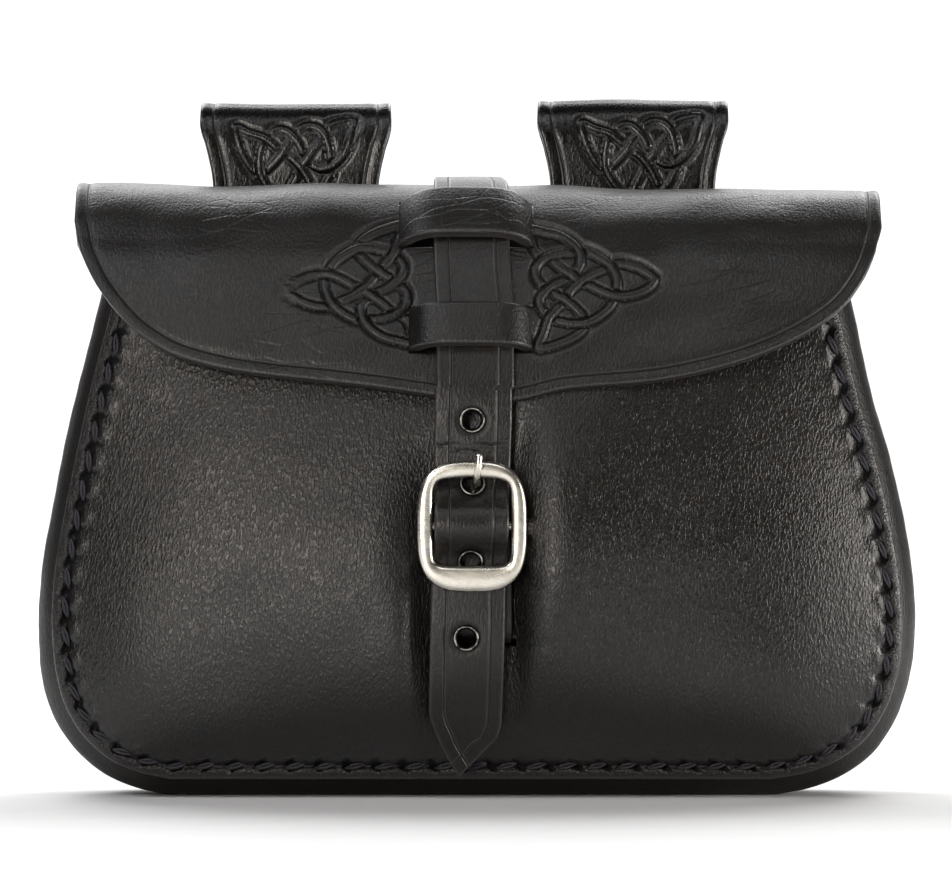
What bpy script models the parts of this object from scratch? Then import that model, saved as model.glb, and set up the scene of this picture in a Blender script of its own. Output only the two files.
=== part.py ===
"""Black leather belt pouch with a buckled flap, standing on its bottom gusset.

Tables and sizes are in millimetres and MM turns them into metres. The wearer's side is at the back.
X runs to the right, Y to the back and Z up. In the tables Y is counted from the middle of the
side gussets; the empty that everything is parented to shifts it to the middle of the whole depth.
"""

import math
from collections import namedtuple

import bmesh
import bpy
from mathutils import Matrix, Vector

MM = 0.001

# Leather, and the clearance between pieces that lie on each other.
PANEL_T = 2.0
GUSSET_T = 1.8
FLAP_T = 2.0
STRAP_T = 2.0
LOOP_T = 2.0
CHAPE_T = 1.1
GAP = 0.3

# Body: the outer faces of the two panels at their edges.
FRONT_FOOT = -21.0  # front panel at the floor
FRONT_LEAN = 0.03  # the body gets shallower upwards, millimetres for each millimetre
BACK_FACE = 21.0
PANEL_FOOT = 4.6  # lower edge of both panels
FRONT_TOP = 134.0
GUSSET_TOP = 134.0
BACK_TOP = 129.0
SEAM_INSET = 3.4  # from a panel's cut edge to its stitches

# Width of the panels, cut edge to cut edge.
Side = namedtuple("Side", "z left right")
PANEL_SIDES = [
    Side(PANEL_FOOT, -78.0, 74.0),
    Side(6.2, -85.5, 83.0),
    Side(9.5, -93.2, 91.2),
    Side(14.6, -99.2, 97.9),
    Side(19.6, -102.9, 101.6),
    Side(26.0, -105.7, 104.6),
    Side(35.0, -107.5, 106.8),
    Side(45.0, -108.1, 107.4),
    Side(55.0, -107.6, 106.7),
    Side(67.0, -105.8, 104.9),
    Side(84.0, -102.5, 101.2),
    Side(104.0, -98.2, 95.8),
    Side(125.0, -92.7, 91.0),
    Side(FRONT_TOP, -90.2, 88.8),
]

# How far the soft front stands out in front of its seam, if nothing held it back.
Swell = namedtuple("Swell", "z out")
FRONT_SWELL = [
    Swell(PANEL_FOOT, 19.0),
    Swell(60.0, 18.7),
    Swell(80.0, 16.6),
    Swell(100.0, 13.0),
    Swell(120.0, 7.7),
    Swell(FRONT_TOP, 2.4),
]
# The swell grows to two thirds this far from the seam: more slowly on the left, and twice as fast
# upwards from the bottom as inwards from the sides.
RUN_LEFT, RUN_RIGHT = 42.0, 32.0
BOTTOM_FASTER = 2.2
# A soft crest runs up the belly, leaning to the right.
CREST_OUT, CREST_WIDE = 4.5, 27.0
CREST_MIDDLE, CREST_LEAN, CREST_HEIGHT = 14.0, 0.36, 55.0
# The tight strap holds the middle back in a trough under it.
Held = namedtuple("Held", "z out")
FRONT_HELD = [
    Held(PANEL_FOOT, 0.0),
    Held(8.6, 0.6),
    Held(11.4, 2.8),
    Held(15.5, 5.5),
    Held(21.0, 8.1),
    Held(28.5, 10.0),
    Held(39.0, 10.9),
    Held(51.0, 11.2),
    Held(76.0, 11.6),
    Held(91.0, 11.3),
    Held(102.0, 10.4),
    Held(113.0, 8.4),
    Held(124.0, 5.7),
    Held(FRONT_TOP, 2.4),
]
TROUGH_CENTRE, TROUGH_WIDE = -2.0, 18.0

# Section of the gusset: depth from the front seam (0) to the back seam (1), and how far the outer
# face stands out from the panels' cut edge.
Fold = namedtuple("Fold", "depth out")
GUSSET_FOLDS = [
    Fold(0.0, 0.0),
    Fold(0.0, -3.4),
    Fold(0.045, -4.4),
    Fold(0.13, -1.8),
    Fold(0.28, 2.7),
    Fold(0.5, 4.9),
    Fold(0.72, 2.7),
    Fold(0.87, -1.8),
    Fold(0.955, -4.4),
    Fold(1.0, -3.4),
    Fold(1.0, 0.0),
]
GUSSET_STATIONS = 44
GUSSET_STAND = max(fold.out for fold in GUSSET_FOLDS)
REST_SPREAD = 0.8  # the bottom squares up, so that the bag rests on a flat strip
CORNER_STATIONS = 60.0  # a radian of turn counts as this many millimetres

# Flap, seen from the side: its outer face from the end of the back tab over to the front lip.
Bend = namedtuple("Bend", "y z")
TAB_Y = BACK_FACE + GAP + FLAP_T
FLAP_BENDS = [
    Bend(TAB_Y, 116.0),
    Bend(TAB_Y, 125.0),
    Bend(TAB_Y, 133.6),
    Bend(22.2, 141.8),
    Bend(18.4, 149.4),
    Bend(12.0, 154.3),
    Bend(3.0, 155.6),
    Bend(-7.5, 153.2),
    Bend(-15.5, 147.3),
    Bend(-21.5, 138.5),
    Bend(-25.8, 128.0),
    Bend(-29.6, 116.0),
    Bend(-32.4, 106.0),
    Bend(-34.2, 97.0),
]
FLAP_WIDEST_Z = 149.0  # where the front face is widest
FLAP_SIDE_DROOP = 5.0  # the front corners hang this far back
CROWN_FALL = 0.0095  # the fold drops to the right
Lip = namedtuple("Lip", "x z")
FLAP_LIP = [
    Lip(-102.8, 145.5),
    Lip(-100.6, 137.0),
    Lip(-95.0, 127.0),
    Lip(-85.0, 116.8),
    Lip(-75.0, 111.4),
    Lip(-60.0, 107.8),
    Lip(-30.0, 104.3),
    Lip(-10.0, 101.4),
    Lip(-1.0, 99.7),
    Lip(9.0, 100.4),
    Lip(22.0, 103.3),
    Lip(43.0, 105.2),
    Lip(60.0, 108.6),
    Lip(75.0, 113.8),
    Lip(90.6, 123.0),
    Lip(97.5, 131.5),
    Lip(100.8, 139.0),
    Lip(102.6, 145.5),
]
# Where the leather starts behind the fold, along its own length from the tab's end.
Start = namedtuple("Start", "across length")
FLAP_START = [
    Start(0.0, 0.0),
    Start(82.0, 0.0),
    Start(90.0, 5.0),
    Start(96.0, 16.0),
    Start(100.0, 30.0),
    Start(102.6, 43.0),
    Start(104.0, 52.0),
]
FLAP_SIDE_COLUMNS = [1.0, 0.985, 0.95, 0.9, 0.83, 0.74, 0.62, 0.5, 0.38, 0.28]

# Keepers: two strips of the flap itself, freed by slits and raised over the strap. Top and bottom
# are heights on the flap's outer face.
Keeper = namedtuple("Keeper", "top bottom left right")
KEEPERS = [
    Keeper(150.4, 139.6, -20.2, 13.8),
    Keeper(124.0, 112.6, -17.6, 13.8),
]
SLIT = 0.7
KEEPER_RISE = 5.1
KEEPER_CROWN = 0.7
KEEPER_SHOULDER = 10.8  # half the width that stays at full height over the strap
STRAP_MIDDLE = -1.8  # at the keepers

# Strap: outer face from the lip of the flap to the tip, with its left and right edges.
Stretch = namedtuple("Stretch", "z y left right")
STRAP_FRONT = [
    Stretch(95.4, -36.3, -11.0, 8.4),
    Stretch(90.0, -36.3, -11.2, 8.2),
    Stretch(84.0, -36.6, -11.2, 8.0),
    Stretch(80.0, -37.1, -11.1, 7.8),
    Stretch(76.5, -38.9, -11.0, 7.7),
    Stretch(73.0, -41.7, -11.0, 7.6),
    Stretch(69.0, -42.8, -11.0, 7.6),
    Stretch(66.0, -41.9, -11.0, 7.5),
    Stretch(63.6, -39.5, -11.1, 7.4),
    Stretch(61.3, -37.8, -11.2, 7.3),
    Stretch(58.0, -37.2, -11.6, 7.1),
    Stretch(52.0, -37.1, -11.9, 6.8),
    Stretch(41.0, -36.8, -12.2, 6.6),
    Stretch(30.0, -35.3, -12.4, 6.3),
    Stretch(22.3, -33.2, -12.5, 6.0),
    Stretch(19.5, -32.3, -12.0, 5.9),
    Stretch(15.7, -30.9, -10.5, 4.9),
    Stretch(13.0, -29.8, -9.4, 2.5),
    Stretch(5.5, -26.8, -5.2, -4.6),
]
# The same strap on the flap, by length along the flap from the end of the back tab.
Laid = namedtuple("Laid", "length left right")
STRAP_LAID = [
    Laid(4.0, -10.9, 4.6),
    Laid(42.0, -11.1, 4.8),
    Laid(56.0, -11.3, 6.2),
    Laid(66.0, -11.4, 7.6),
    Laid(82.0, -11.4, 7.8),
    Laid(94.0, -11.2, 8.0),
    Laid(106.0, -10.6, 8.9),
]

STRAP_STEPS = 6  # steps of its curve from one row to the next
STRAP_LEAVES = 103.0  # height where it leaves the flap
LAID_ROWS = 22
PAST_FOLD = 60.0  # along the strap: from here on it is on the front
BLEND_ABOVE = 8.0  # its widths on the flap hold down to this far above the lip

# Eyelets: where they sit on the strap, and their own sizes.
Eyelet = namedtuple("Eyelet", "x z")
EYELETS = [Eyelet(-1.6, 95.4), Eyelet(-1.5, 79.3), Eyelet(-2.0, 60.1), Eyelet(-3.1, 40.9)]
EYELET_HOLE = 2.2
EYELET_BARREL = 2.6
EYELET_FLANGE = 3.4
EYELET_HEIGHT = 1.0
EYELET_BACK = 0.4  # thickness of the flange behind the strap
EYELET_GAP = 0.25
EYELET_SIDES = 16

# Buckle: a frame with a centre bar set back behind it.
BUCKLE_X = -1.65
BUCKLE_Z = 68.9
BUCKLE_Y = -39.9
FRAME_HALF_T = 1.4
FRAME_WIDE = 27.4
FRAME_HIGH = 32.8
FRAME_SQUARENESS = 3.1
WINDOW_WIDE = 19.6
WINDOW_HIGH = 21.2
WINDOW_UP = 0.7  # the bottom bar is the broad one
WINDOW_ARCH = 0.9
WINDOW_SQUARENESS = 9.0
FRAME_SIDES = 44
BAR_SET_BACK = 2.0
BAR_R = 1.1
LUG_WIDE = 2.4

# Prong: curled round the bar, through the second eyelet, over the top bar.
PRONG_R = 0.95
PRONG_CURL_R = 0.55
PRONG_X = -1.6
PRONG_LEAN = 0.1  # to the right, for each millimetre upwards
PRONG_SHANK = [
    Bend(-34.8, 73.0),
    Bend(-34.2, 76.2),
    Bend(-34.9, 78.2),
    Bend(-36.6, 79.1),
    Bend(-38.6, 79.6),
    Bend(-40.4, 80.3),
    Bend(-42.0, 81.5),
    Bend(-42.8, 83.8),
    Bend(-42.7, 87.2),
]

# Chape: a strip doubled over the bar, both ends through the slit in the front panel.
SLIT_LOW = 38.0
SLIT_HIGH = 43.4
SLIT_LEFT = -12.8
SLIT_RIGHT = 9.2
CHAPE_SLOT = 3.6
CHAPE_OFF = 0.4  # from the front panel to the strip
Strip = namedtuple("Strip", "z left right")
CHAPE_SIDES = [
    Strip(30.0, -12.0, 8.4),
    Strip(46.0, -12.0, 8.4),
    Strip(58.0, -11.6, 8.2),
    Strip(66.0, -11.1, 7.7),
    Strip(72.0, -11.1, 7.7),
]

# Belt loops: outer face from the end sewn over the flap's tab, up, over and down the back.
LOOP_FRONT_Y = TAB_Y + GAP
LOOP_REAR_Y = 37.6
LOOP_BENDS = [
    Bend(LOOP_FRONT_Y, 119.0),
    Bend(LOOP_FRONT_Y, 140.0),
    Bend(LOOP_FRONT_Y, 160.0),
    Bend(LOOP_FRONT_Y + 0.1, 172.0),
    Bend(26.0, 177.9),
    Bend(30.6, 180.2),
    Bend(35.2, 177.9),
    Bend(LOOP_REAR_Y, 171.5),
    Bend(LOOP_REAR_Y, 150.0),
    Bend(LOOP_REAR_Y, 122.0),
    Bend(36.4, 108.0),
    Bend(31.6, 97.0),
    Bend(26.0, 89.0),
    Bend(BACK_FACE + GAP + LOOP_T + 0.3, 83.0),
    Bend(BACK_FACE + GAP + LOOP_T, 78.0),
    Bend(BACK_FACE + GAP + LOOP_T, 64.0),
]
# Half the loop's width at a height: the same for both legs.
Flare = namedtuple("Flare", "z half")
LOOP_FLARE = [
    Flare(64.0, 19.5),
    Flare(120.0, 20.0),
    Flare(150.0, 20.9),
    Flare(160.0, 21.6),
    Flare(168.0, 23.2),
    Flare(175.0, 24.9),
    Flare(181.0, 24.8),
]
# Where each loop's middle is, and how much lower it is sewn than the line above says.
Loop = namedtuple("Loop", "name middle drop")
LOOPS = [Loop("belt_loop_left", -47.7, 1.7), Loop("belt_loop_right", 40.3, 0.8)]
LOOP_SEWN = 36.0  # length of the straight stretch sewn over the tab
LOOP_FOLDED = 84.0  # length at which the fold over the top has ended

# Everything above is counted from the gusset's middle; this is the middle of the whole depth.
DEPTH_MIDDLE = (min(bend.y for bend in PRONG_SHANK) - PRONG_R + LOOP_REAR_Y) / 2

BLACK_LEATHER = (0.018, 0.016, 0.015, 1.0)
STRAP_LEATHER = (0.014, 0.013, 0.013, 1.0)
NICKEL = (0.72, 0.68, 0.60, 1.0)
BLACKED_BRASS = (0.05, 0.045, 0.04, 1.0)


# Tables and curves


def read(rows, column, at):
    """A smooth value from a table, between rows sorted by their first column, with no overshoot."""
    keys = [row[0] for row in rows]
    values = [getattr(row, column) for row in rows]
    if keys[0] > keys[-1]:
        keys.reverse()
        values.reverse()
    at = min(max(at, keys[0]), keys[-1])
    i = max(n for n in range(len(keys) - 1) if keys[n] <= at)
    steps = [(values[n + 1] - values[n]) / (keys[n + 1] - keys[n]) for n in range(len(keys) - 1)]

    def slope(n):
        if n in (0, len(keys) - 1):
            return steps[min(n, len(steps) - 1)]
        before, after = steps[n - 1], steps[n]
        return 2 * before * after / (before + after) if before * after > 0 else 0.0

    span = keys[i + 1] - keys[i]
    t = (at - keys[i]) / span
    return (
        values[i] * (1 + 2 * t) * (1 - t) ** 2
        + slope(i) * span * t * (1 - t) ** 2
        + values[i + 1] * t * t * (3 - 2 * t)
        + slope(i + 1) * span * t * t * (t - 1)
    )


class Route:
    """A smooth line in the side view through given points, measured along its length."""

    def __init__(self, bends, steps=12):
        points = [Vector((bend.y, bend.z)) for bend in bends]
        ends = [2 * points[0] - points[1]] + points + [2 * points[-1] - points[-2]]
        self.points = [points[0]]
        for a, b, c, d in zip(ends, ends[1:], ends[2:], ends[3:]):
            for n in range(1, steps + 1):
                self.points.append(self.between(a, b, c, d, n / steps))
        self.lengths = [0.0]
        for a, b in zip(self.points, self.points[1:]):
            self.lengths.append(self.lengths[-1] + (b - a).length)
        self.length = self.lengths[-1]

    @staticmethod
    def between(a, b, c, d, t):
        """Centripetal Catmull-Rom between b and c."""
        ta = 0.0
        tb = ta + math.sqrt((b - a).length)
        tc = tb + math.sqrt((c - b).length)
        td = tc + math.sqrt((d - c).length)
        at = tb + t * (tc - tb)
        ab = a.lerp(b, (at - ta) / (tb - ta))
        bc = b.lerp(c, (at - tb) / (tc - tb))
        cd = c.lerp(d, (at - tc) / (td - tc))
        abc = ab.lerp(bc, (at - ta) / (tc - ta))
        bcd = bc.lerp(cd, (at - tb) / (td - tb))
        return abc.lerp(bcd, (at - tb) / (tc - tb))

    def at(self, length):
        """Point and unit tangent at a length from the start."""
        length = min(max(length, 0.0), self.length)
        n = 1
        while n < len(self.lengths) - 1 and self.lengths[n] < length:
            n += 1
        a, b = self.points[n - 1], self.points[n]
        part = (length - self.lengths[n - 1]) / (self.lengths[n] - self.lengths[n - 1])
        return a.lerp(b, part), (b - a).normalized()

    def face(self, length):
        """Point and outward normal, on the right of a line that runs up the back and down the front."""
        point, along = self.at(length)
        return point, Vector((along.y, -along.x))

    def length_at_height(self, z, after=0.0):
        """The first length past a given one where the line comes down to a height."""
        for n in range(1, len(self.points)):
            high, low = self.points[n - 1].y, self.points[n].y
            if self.lengths[n] > after and high >= z >= low and high > low:
                part = (high - z) / (high - low)
                return self.lengths[n - 1] + part * (self.lengths[n] - self.lengths[n - 1])
        return self.length


def spread(start, end, count):
    return [start + (end - start) * n / (count - 1) for n in range(count)]


# Making solids


def material(name, colour, rough, metal=0.0):
    made = bpy.data.materials.new(name)
    made.use_nodes = True
    shader = made.node_tree.nodes["Principled BSDF"]
    shader.inputs["Base Color"].default_value = colour
    shader.inputs["Roughness"].default_value = rough
    shader.inputs["Metallic"].default_value = metal
    made.diffuse_color = colour
    return made


def add_object(name, bm, colour, rough, metal=0.0, sharp=40.0):
    """One named object from a bmesh in millimetres, parented to the bag's empty."""
    bmesh.ops.scale(bm, vec=Vector((MM, MM, MM)), verts=bm.verts)
    mesh = bpy.data.meshes.new(name)
    bm.to_mesh(mesh)
    bm.free()
    mesh.shade_smooth()
    mesh.set_sharp_from_angle(angle=math.radians(sharp))
    mesh.materials.append(material(f"{name}_finish", colour, rough, metal))
    made = bpy.data.objects.new(name, mesh)
    bpy.context.collection.objects.link(made)
    made.parent = bpy.data.objects["bag"]
    return made


def leather(name, rows, thickness, left_out=(), colour=BLACK_LEATHER):
    """A leather piece: its outer face as a grid of points, thickened inwards by Solidify.

    The grid's rows run so that row direction x column direction points outwards.
    """
    bm = bmesh.new()
    grid = [[bm.verts.new(point) for point in row] for row in rows]
    for r in range(len(grid) - 1):
        for c in range(len(grid[r]) - 1):
            if (r, c) not in left_out:
                bm.faces.new((grid[r][c], grid[r + 1][c], grid[r + 1][c + 1], grid[r][c + 1]))
    bmesh.ops.delete(bm, geom=[v for v in bm.verts if not v.link_faces], context="VERTS")
    made = add_object(name, bm, colour, 0.42)
    wall = made.modifiers.new("thickness", "SOLIDIFY")
    wall.thickness = thickness * MM
    wall.offset = -1.0
    wall.use_even_offset = True
    wall.use_quality_normals = True
    return made


def combine(made, bm, name, operation="DIFFERENCE"):
    """Take the closed shape in bm away from an object, or join it on."""
    bmesh.ops.scale(bm, vec=Vector((MM, MM, MM)), verts=bm.verts)
    mesh = bpy.data.meshes.new(name)
    bm.to_mesh(mesh)
    bm.free()
    other = bpy.data.objects.new(name, mesh)
    bpy.context.collection.objects.link(other)
    other.parent = bpy.data.objects["bag"]
    other.hide_render = True
    other.display_type = "WIRE"
    step = made.modifiers.new(name, "BOOLEAN")
    step.operation = operation
    step.object = other
    step.solver = "EXACT"


def block(low, high):
    """A closed box between two corners."""
    bm = bmesh.new()
    middle = (Vector(low) + Vector(high)) / 2
    size = Vector(high) - Vector(low)
    bmesh.ops.create_cube(bm, size=1.0, matrix=Matrix.Translation(middle) @ Matrix.Diagonal((*size, 1.0)))
    return bm


# Body


def front_seam_y(z):
    return FRONT_FOOT + FRONT_LEAN * z


def lower_edge(x):
    """Height of the panels' cut edge under a point of the bottom corners."""
    column = "left" if x < 0 else "right"
    low, high = PANEL_FOOT, 45.0
    if abs(x) <= abs(read(PANEL_SIDES, column, low)):
        return low
    for _ in range(24):
        middle = (low + high) / 2
        if abs(read(PANEL_SIDES, column, middle)) < abs(x):
            low = middle
        else:
            high = middle
    return low


def loose(x, z):
    """How far the front panel would stand out from its seam without the strap."""
    side = min(x - read(PANEL_SIDES, "left", z), read(PANEL_SIDES, "right", z) - x)
    across = max(side - SEAM_INSET, 0.0)
    up = max(z - lower_edge(x) - SEAM_INSET, 0.0) * BOTTOM_FASTER
    if across == 0.0 or up == 0.0:
        return 0.0
    inside = across * up / math.hypot(across, up)
    share = min(max(x / 120.0 + 0.5, 0.0), 1.0)
    run = RUN_LEFT + (RUN_RIGHT - RUN_LEFT) * share
    most = read(FRONT_SWELL, "out", z)
    off = (x - CREST_MIDDLE - CREST_LEAN * (z - CREST_HEIGHT)) / CREST_WIDE
    crest = CREST_OUT * math.exp(-off * off) * (1 - math.exp(-inside / 20.0)) * most / 19.0
    return most * (1 - math.exp(-inside / run)) + crest


def swell(x, z):
    """How far the front panel stands out from its seam at a place."""
    free, held = loose(x, z), read(FRONT_HELD, "out", z)
    beside = math.exp(-(((x - TROUGH_CENTRE) / TROUGH_WIDE) ** 6))
    return free + (min(held, free) - free) * beside


def front_face(x, z):
    return front_seam_y(z) - swell(x, z)


def panel_columns(z):
    """Places across a row of the front panel: close together at the seams."""
    left, right = read(PANEL_SIDES, "left", z), read(PANEL_SIDES, "right", z)
    steps = [0.0, 0.031, 0.06, 0.11, 0.19, 0.31, 0.46, 0.64, 0.83]
    inner_left, inner_right = -21.0, 17.4
    columns = [left + (inner_left - left) * step for step in steps]
    columns += [inner_left, SLIT_LEFT, TROUGH_CENTRE, SLIT_RIGHT, inner_right]
    columns += [right + (inner_right - right) * step for step in reversed(steps)]
    return columns


def make_front_panel():
    heights = [PANEL_FOOT, 6.4, 8.6, 11.4, 15.5, 21.0, 28.5, SLIT_LOW, SLIT_HIGH, 51.0, 60.0, 70.0]
    heights += [80.0, 91.0, 102.0, 113.0, 124.0, FRONT_TOP]
    rows = [[(x, front_face(x, z), z) for x in panel_columns(z)] for z in reversed(heights)]
    slit_row = len(heights) - 2 - heights.index(SLIT_LOW)
    slit_column = panel_columns(SLIT_LOW).index(SLIT_LEFT)
    slit = {(slit_row, slit_column), (slit_row, slit_column + 1)}
    leather("front_panel", rows, PANEL_T, slit)


def rim(top, count):
    """The panels' cut edge from the top left, round the bottom, to the top right, with its normals.

    Its stations are closer together round the corners.
    """
    heights = spread(top, PANEL_FOOT, 60)
    way = [Vector((read(PANEL_SIDES, "left", z), z)) for z in heights]
    way += [Vector((x, PANEL_FOOT)) for x in spread(-70.0, 66.0, 18)]
    way += [Vector((read(PANEL_SIDES, "right", z), z)) for z in reversed(heights)]
    lengths = [0.0]
    for n in range(1, len(way)):
        step = way[n] - way[n - 1]
        before = way[n - 1] - way[n - 2] if n > 1 else step
        lengths.append(lengths[-1] + step.length + CORNER_STATIONS * step.angle(before))
    points = []
    for length in spread(0.0, lengths[-1], count):
        n = 1
        while n < len(lengths) - 1 and lengths[n] < length:
            n += 1
        part = (length - lengths[n - 1]) / (lengths[n] - lengths[n - 1])
        points.append(way[n - 1].lerp(way[n], part))
    stations = []
    for n, point in enumerate(points):
        along = points[min(n + 1, count - 1)] - points[max(n - 1, 0)]
        stations.append((point, Vector((along.y, -along.x)).normalized()))
    return stations


def make_gusset():
    rows = []
    for point, out in reversed(rim(GUSSET_TOP, GUSSET_STATIONS)):
        front = front_seam_y(point.y) + PANEL_T + GAP + GUSSET_T
        back = BACK_FACE - PANEL_T - GAP - GUSSET_T
        row = []
        squarer = 1 + REST_SPREAD * max(-out.y, 0.0)
        for fold in GUSSET_FOLDS:
            stand = min(fold.out * squarer, GUSSET_STAND) if fold.out > 0 else fold.out
            place = point + out * stand
            row.append((place.x, front + (back - front) * fold.depth, max(place.y, 0.0)))
        rows.append(row)
    leather("gusset", rows, GUSSET_T)


def make_back_panel():
    heights = [PANEL_FOOT, 6.2, 9.5, 14.6, 20.0, 28.0, 40.0, 55.0, 75.0, 100.0, 125.0, BACK_TOP]
    rows = []
    for z in heights:
        ends = spread(read(PANEL_SIDES, "left", z), read(PANEL_SIDES, "right", z), 2)
        rows.append([(x, BACK_FACE, z) for x in ends])
    leather("back_panel", rows, PANEL_T)


# Flap


def flap_columns():
    left, right = FLAP_LIP[0].x, FLAP_LIP[-1].x
    middle = [-20.2, -17.6, -15.6, -14.0, -12.6, -7.2, STRAP_MIDDLE, 3.6, 9.0, 10.5, 12.0, 13.8, 17.5]
    columns = [left * part for part in FLAP_SIDE_COLUMNS] + middle
    return columns + [right * part for part in reversed(FLAP_SIDE_COLUMNS)]


def keeper_rise(keeper, x):
    """Height of a keeper over the flap at a place across it."""
    end = keeper.left if x < STRAP_MIDDLE else keeper.right
    shoulder = STRAP_MIDDLE + math.copysign(KEEPER_SHOULDER, end - STRAP_MIDDLE)
    part = (x - end) / (shoulder - end)
    if part >= 1.0:
        beyond = (x - STRAP_MIDDLE) / KEEPER_SHOULDER
        return KEEPER_RISE + KEEPER_CROWN * (1 - beyond * beyond)
    return KEEPER_RISE * (0.5 - 0.5 * math.cos(math.pi * max(part, 0.0)))


class Flap:
    """The flap's outer face, by place across it and length along it from the end of the tab."""

    def __init__(self):
        self.route = Route(FLAP_BENDS)
        self.crown = max(range(len(self.route.points)), key=lambda n: self.route.points[n].y)
        self.crown_length = self.route.lengths[self.crown]
        self.widest = self.front_length(FLAP_WIDEST_Z)

    def front_length(self, z):
        return self.route.length_at_height(z, self.crown_length)

    def point(self, x, length, rise=0.0):
        place, outward = self.route.face(length)
        place = place + outward * rise
        front = min(max((length - self.crown_length) / 30.0, 0.0), 1.0)
        droop = FLAP_SIDE_DROOP * front * abs(x / FLAP_LIP[0].x) ** 3
        fall = CROWN_FALL * x * min(max((place.y - 110.0) / 45.0, 0.0), 1.0)
        return (x, place.x + droop, place.y - fall)

    def lip_length(self, x):
        return self.front_length(read(FLAP_LIP, "z", x))

    def column(self, x, lengths, below):
        """Lengths of one column: given rows, squeezed where the leather is shorter, then the lip."""
        lip = self.lip_length(x)
        start = read(FLAP_START, "length", abs(x))
        front = min(1.0, 0.88 * (lip - self.widest) / (lengths[-1] - self.widest))
        back = (self.widest - start) / self.widest
        column = []
        for length in lengths:
            part = back if length < self.widest else front
            column.append(self.widest + (length - self.widest) * part)
        return column + spread(column[-1], lip, below + 1)[1:]


def make_flap(flap):
    slits = []
    for keeper in KEEPERS:
        for z in (keeper.top, keeper.bottom):
            slits.append(flap.front_length(z))
    tops = [slits[0], slits[2]]
    bottoms = [slits[1], slits[3]]
    lengths = spread(0.0, 22.0, 3) + spread(28.0, tops[0] - 4.0, 7)
    keeper_rows = []
    for n, (top, bottom) in enumerate(zip(tops, bottoms)):
        lengths += [top]
        first = len(lengths)
        lengths += [top + SLIT, (top + bottom) / 2, bottom - SLIT]
        keeper_rows.append(range(first, len(lengths)))
        lengths += [bottom]
        if n == 0:
            lengths += spread(bottom, tops[1], 5)[1:-1]
    columns = flap_columns()
    below = 3
    grid = [flap.column(x, lengths, below) for x in columns]
    rows = []
    for r in range(len(lengths) + below):
        row = []
        for c, x in enumerate(columns):
            rise = 0.0
            for keeper, span in zip(KEEPERS, keeper_rows):
                if r in span and keeper.left < x < keeper.right:
                    rise = keeper_rise(keeper, x)
            row.append(flap.point(x, grid[c][r], rise))
        rows.append(row)
    slit_cells = set()
    for keeper, span in zip(KEEPERS, keeper_rows):
        for c in range(len(columns) - 1):
            if keeper.left <= columns[c] and columns[c + 1] <= keeper.right:
                slit_cells |= {(span[0] - 1, c), (span[-1], c)}
    leather("flap", rows, FLAP_T, slit_cells)


# Strap and its hardware


class Strap:
    """The strap's outer face: first laid over the flap, then down the front to its tip."""

    def __init__(self, flap):
        bends = []
        lift = GAP + 0.2 + STRAP_T
        for length in spread(STRAP_LAID[0].length, flap.front_length(STRAP_LEAVES), LAID_ROWS):
            place, outward = flap.route.face(length)
            bends.append(Bend(*(place + outward * lift)))
        self.laid = len(bends)
        bends += [Bend(row.y, row.z) for row in STRAP_FRONT]
        self.route = Route(bends, STRAP_STEPS)

    def edges(self, length):
        """Left and right edge at a length along the strap."""
        place, _ = self.route.at(length)
        if place.y > STRAP_FRONT[0].z + BLEND_ABOVE or length < PAST_FOLD:
            laid = STRAP_LAID[0].length + length
            return read(STRAP_LAID, "left", laid), read(STRAP_LAID, "right", laid)
        return read(STRAP_FRONT, "left", place.y), read(STRAP_FRONT, "right", place.y)

    def seat(self, x, z):
        """Matrix of an eyelet's place: its Z axis leaves the outer face."""
        length = self.route.length_at_height(z, PAST_FOLD)
        place, _ = self.route.at(length)
        above, _ = self.route.at(length - EYELET_FLANGE)
        below, _ = self.route.at(length + EYELET_FLANGE)
        along = (below - above).normalized()
        out = Vector((0.0, along.y, -along.x))
        side = Vector((1.0, 0.0, 0.0))
        turn = Matrix((side, out.cross(side), out)).transposed().to_4x4()
        return Matrix.Translation((x, place.x, place.y)) @ turn


def make_strap(strap):
    steps = strap.route.lengths
    rows = []
    for length in steps[: strap.laid * STRAP_STEPS : STRAP_STEPS] + steps[strap.laid * STRAP_STEPS :: 2]:
        place, _ = strap.route.at(length)
        rows.append([(x, place.x, place.y) for x in strap.edges(length)])
    made = leather("strap", rows, STRAP_T, colour=STRAP_LEATHER)
    hole = EYELET_BARREL + EYELET_GAP
    dent = EYELET_FLANGE + EYELET_GAP
    punch = [(0.0, 3.0), (dent, 3.0), (dent, 0.0), (hole, 0.0)]
    punch += [(hole, -STRAP_T), (dent, -STRAP_T), (dent, -STRAP_T - 3.0), (0.0, -STRAP_T - 3.0)]
    for n, eyelet in enumerate(EYELETS, 1):
        combine(made, turned(punch, strap.seat(eyelet.x, eyelet.z), closed=False), f"punch_{n}")


def turned(profile, seat, closed=True):
    """A closed shape turned from (radius, height) points round the Z axis of its seat."""
    bm = bmesh.new()
    points = [bm.verts.new((r, 0.0, h)) for r, h in profile]
    ends = points[1:] + points[:1] if closed else points[1:]
    edges = [bm.edges.new(pair) for pair in zip(points, ends)]
    bmesh.ops.spin(
        bm, geom=points + edges, cent=(0, 0, 0), axis=(0, 0, 1), angle=math.tau, steps=EYELET_SIDES
    )
    bmesh.ops.remove_doubles(bm, verts=bm.verts, dist=0.001)
    bmesh.ops.recalc_face_normals(bm, faces=bm.faces)
    bmesh.ops.transform(bm, matrix=seat, verts=bm.verts)
    return bm


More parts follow.
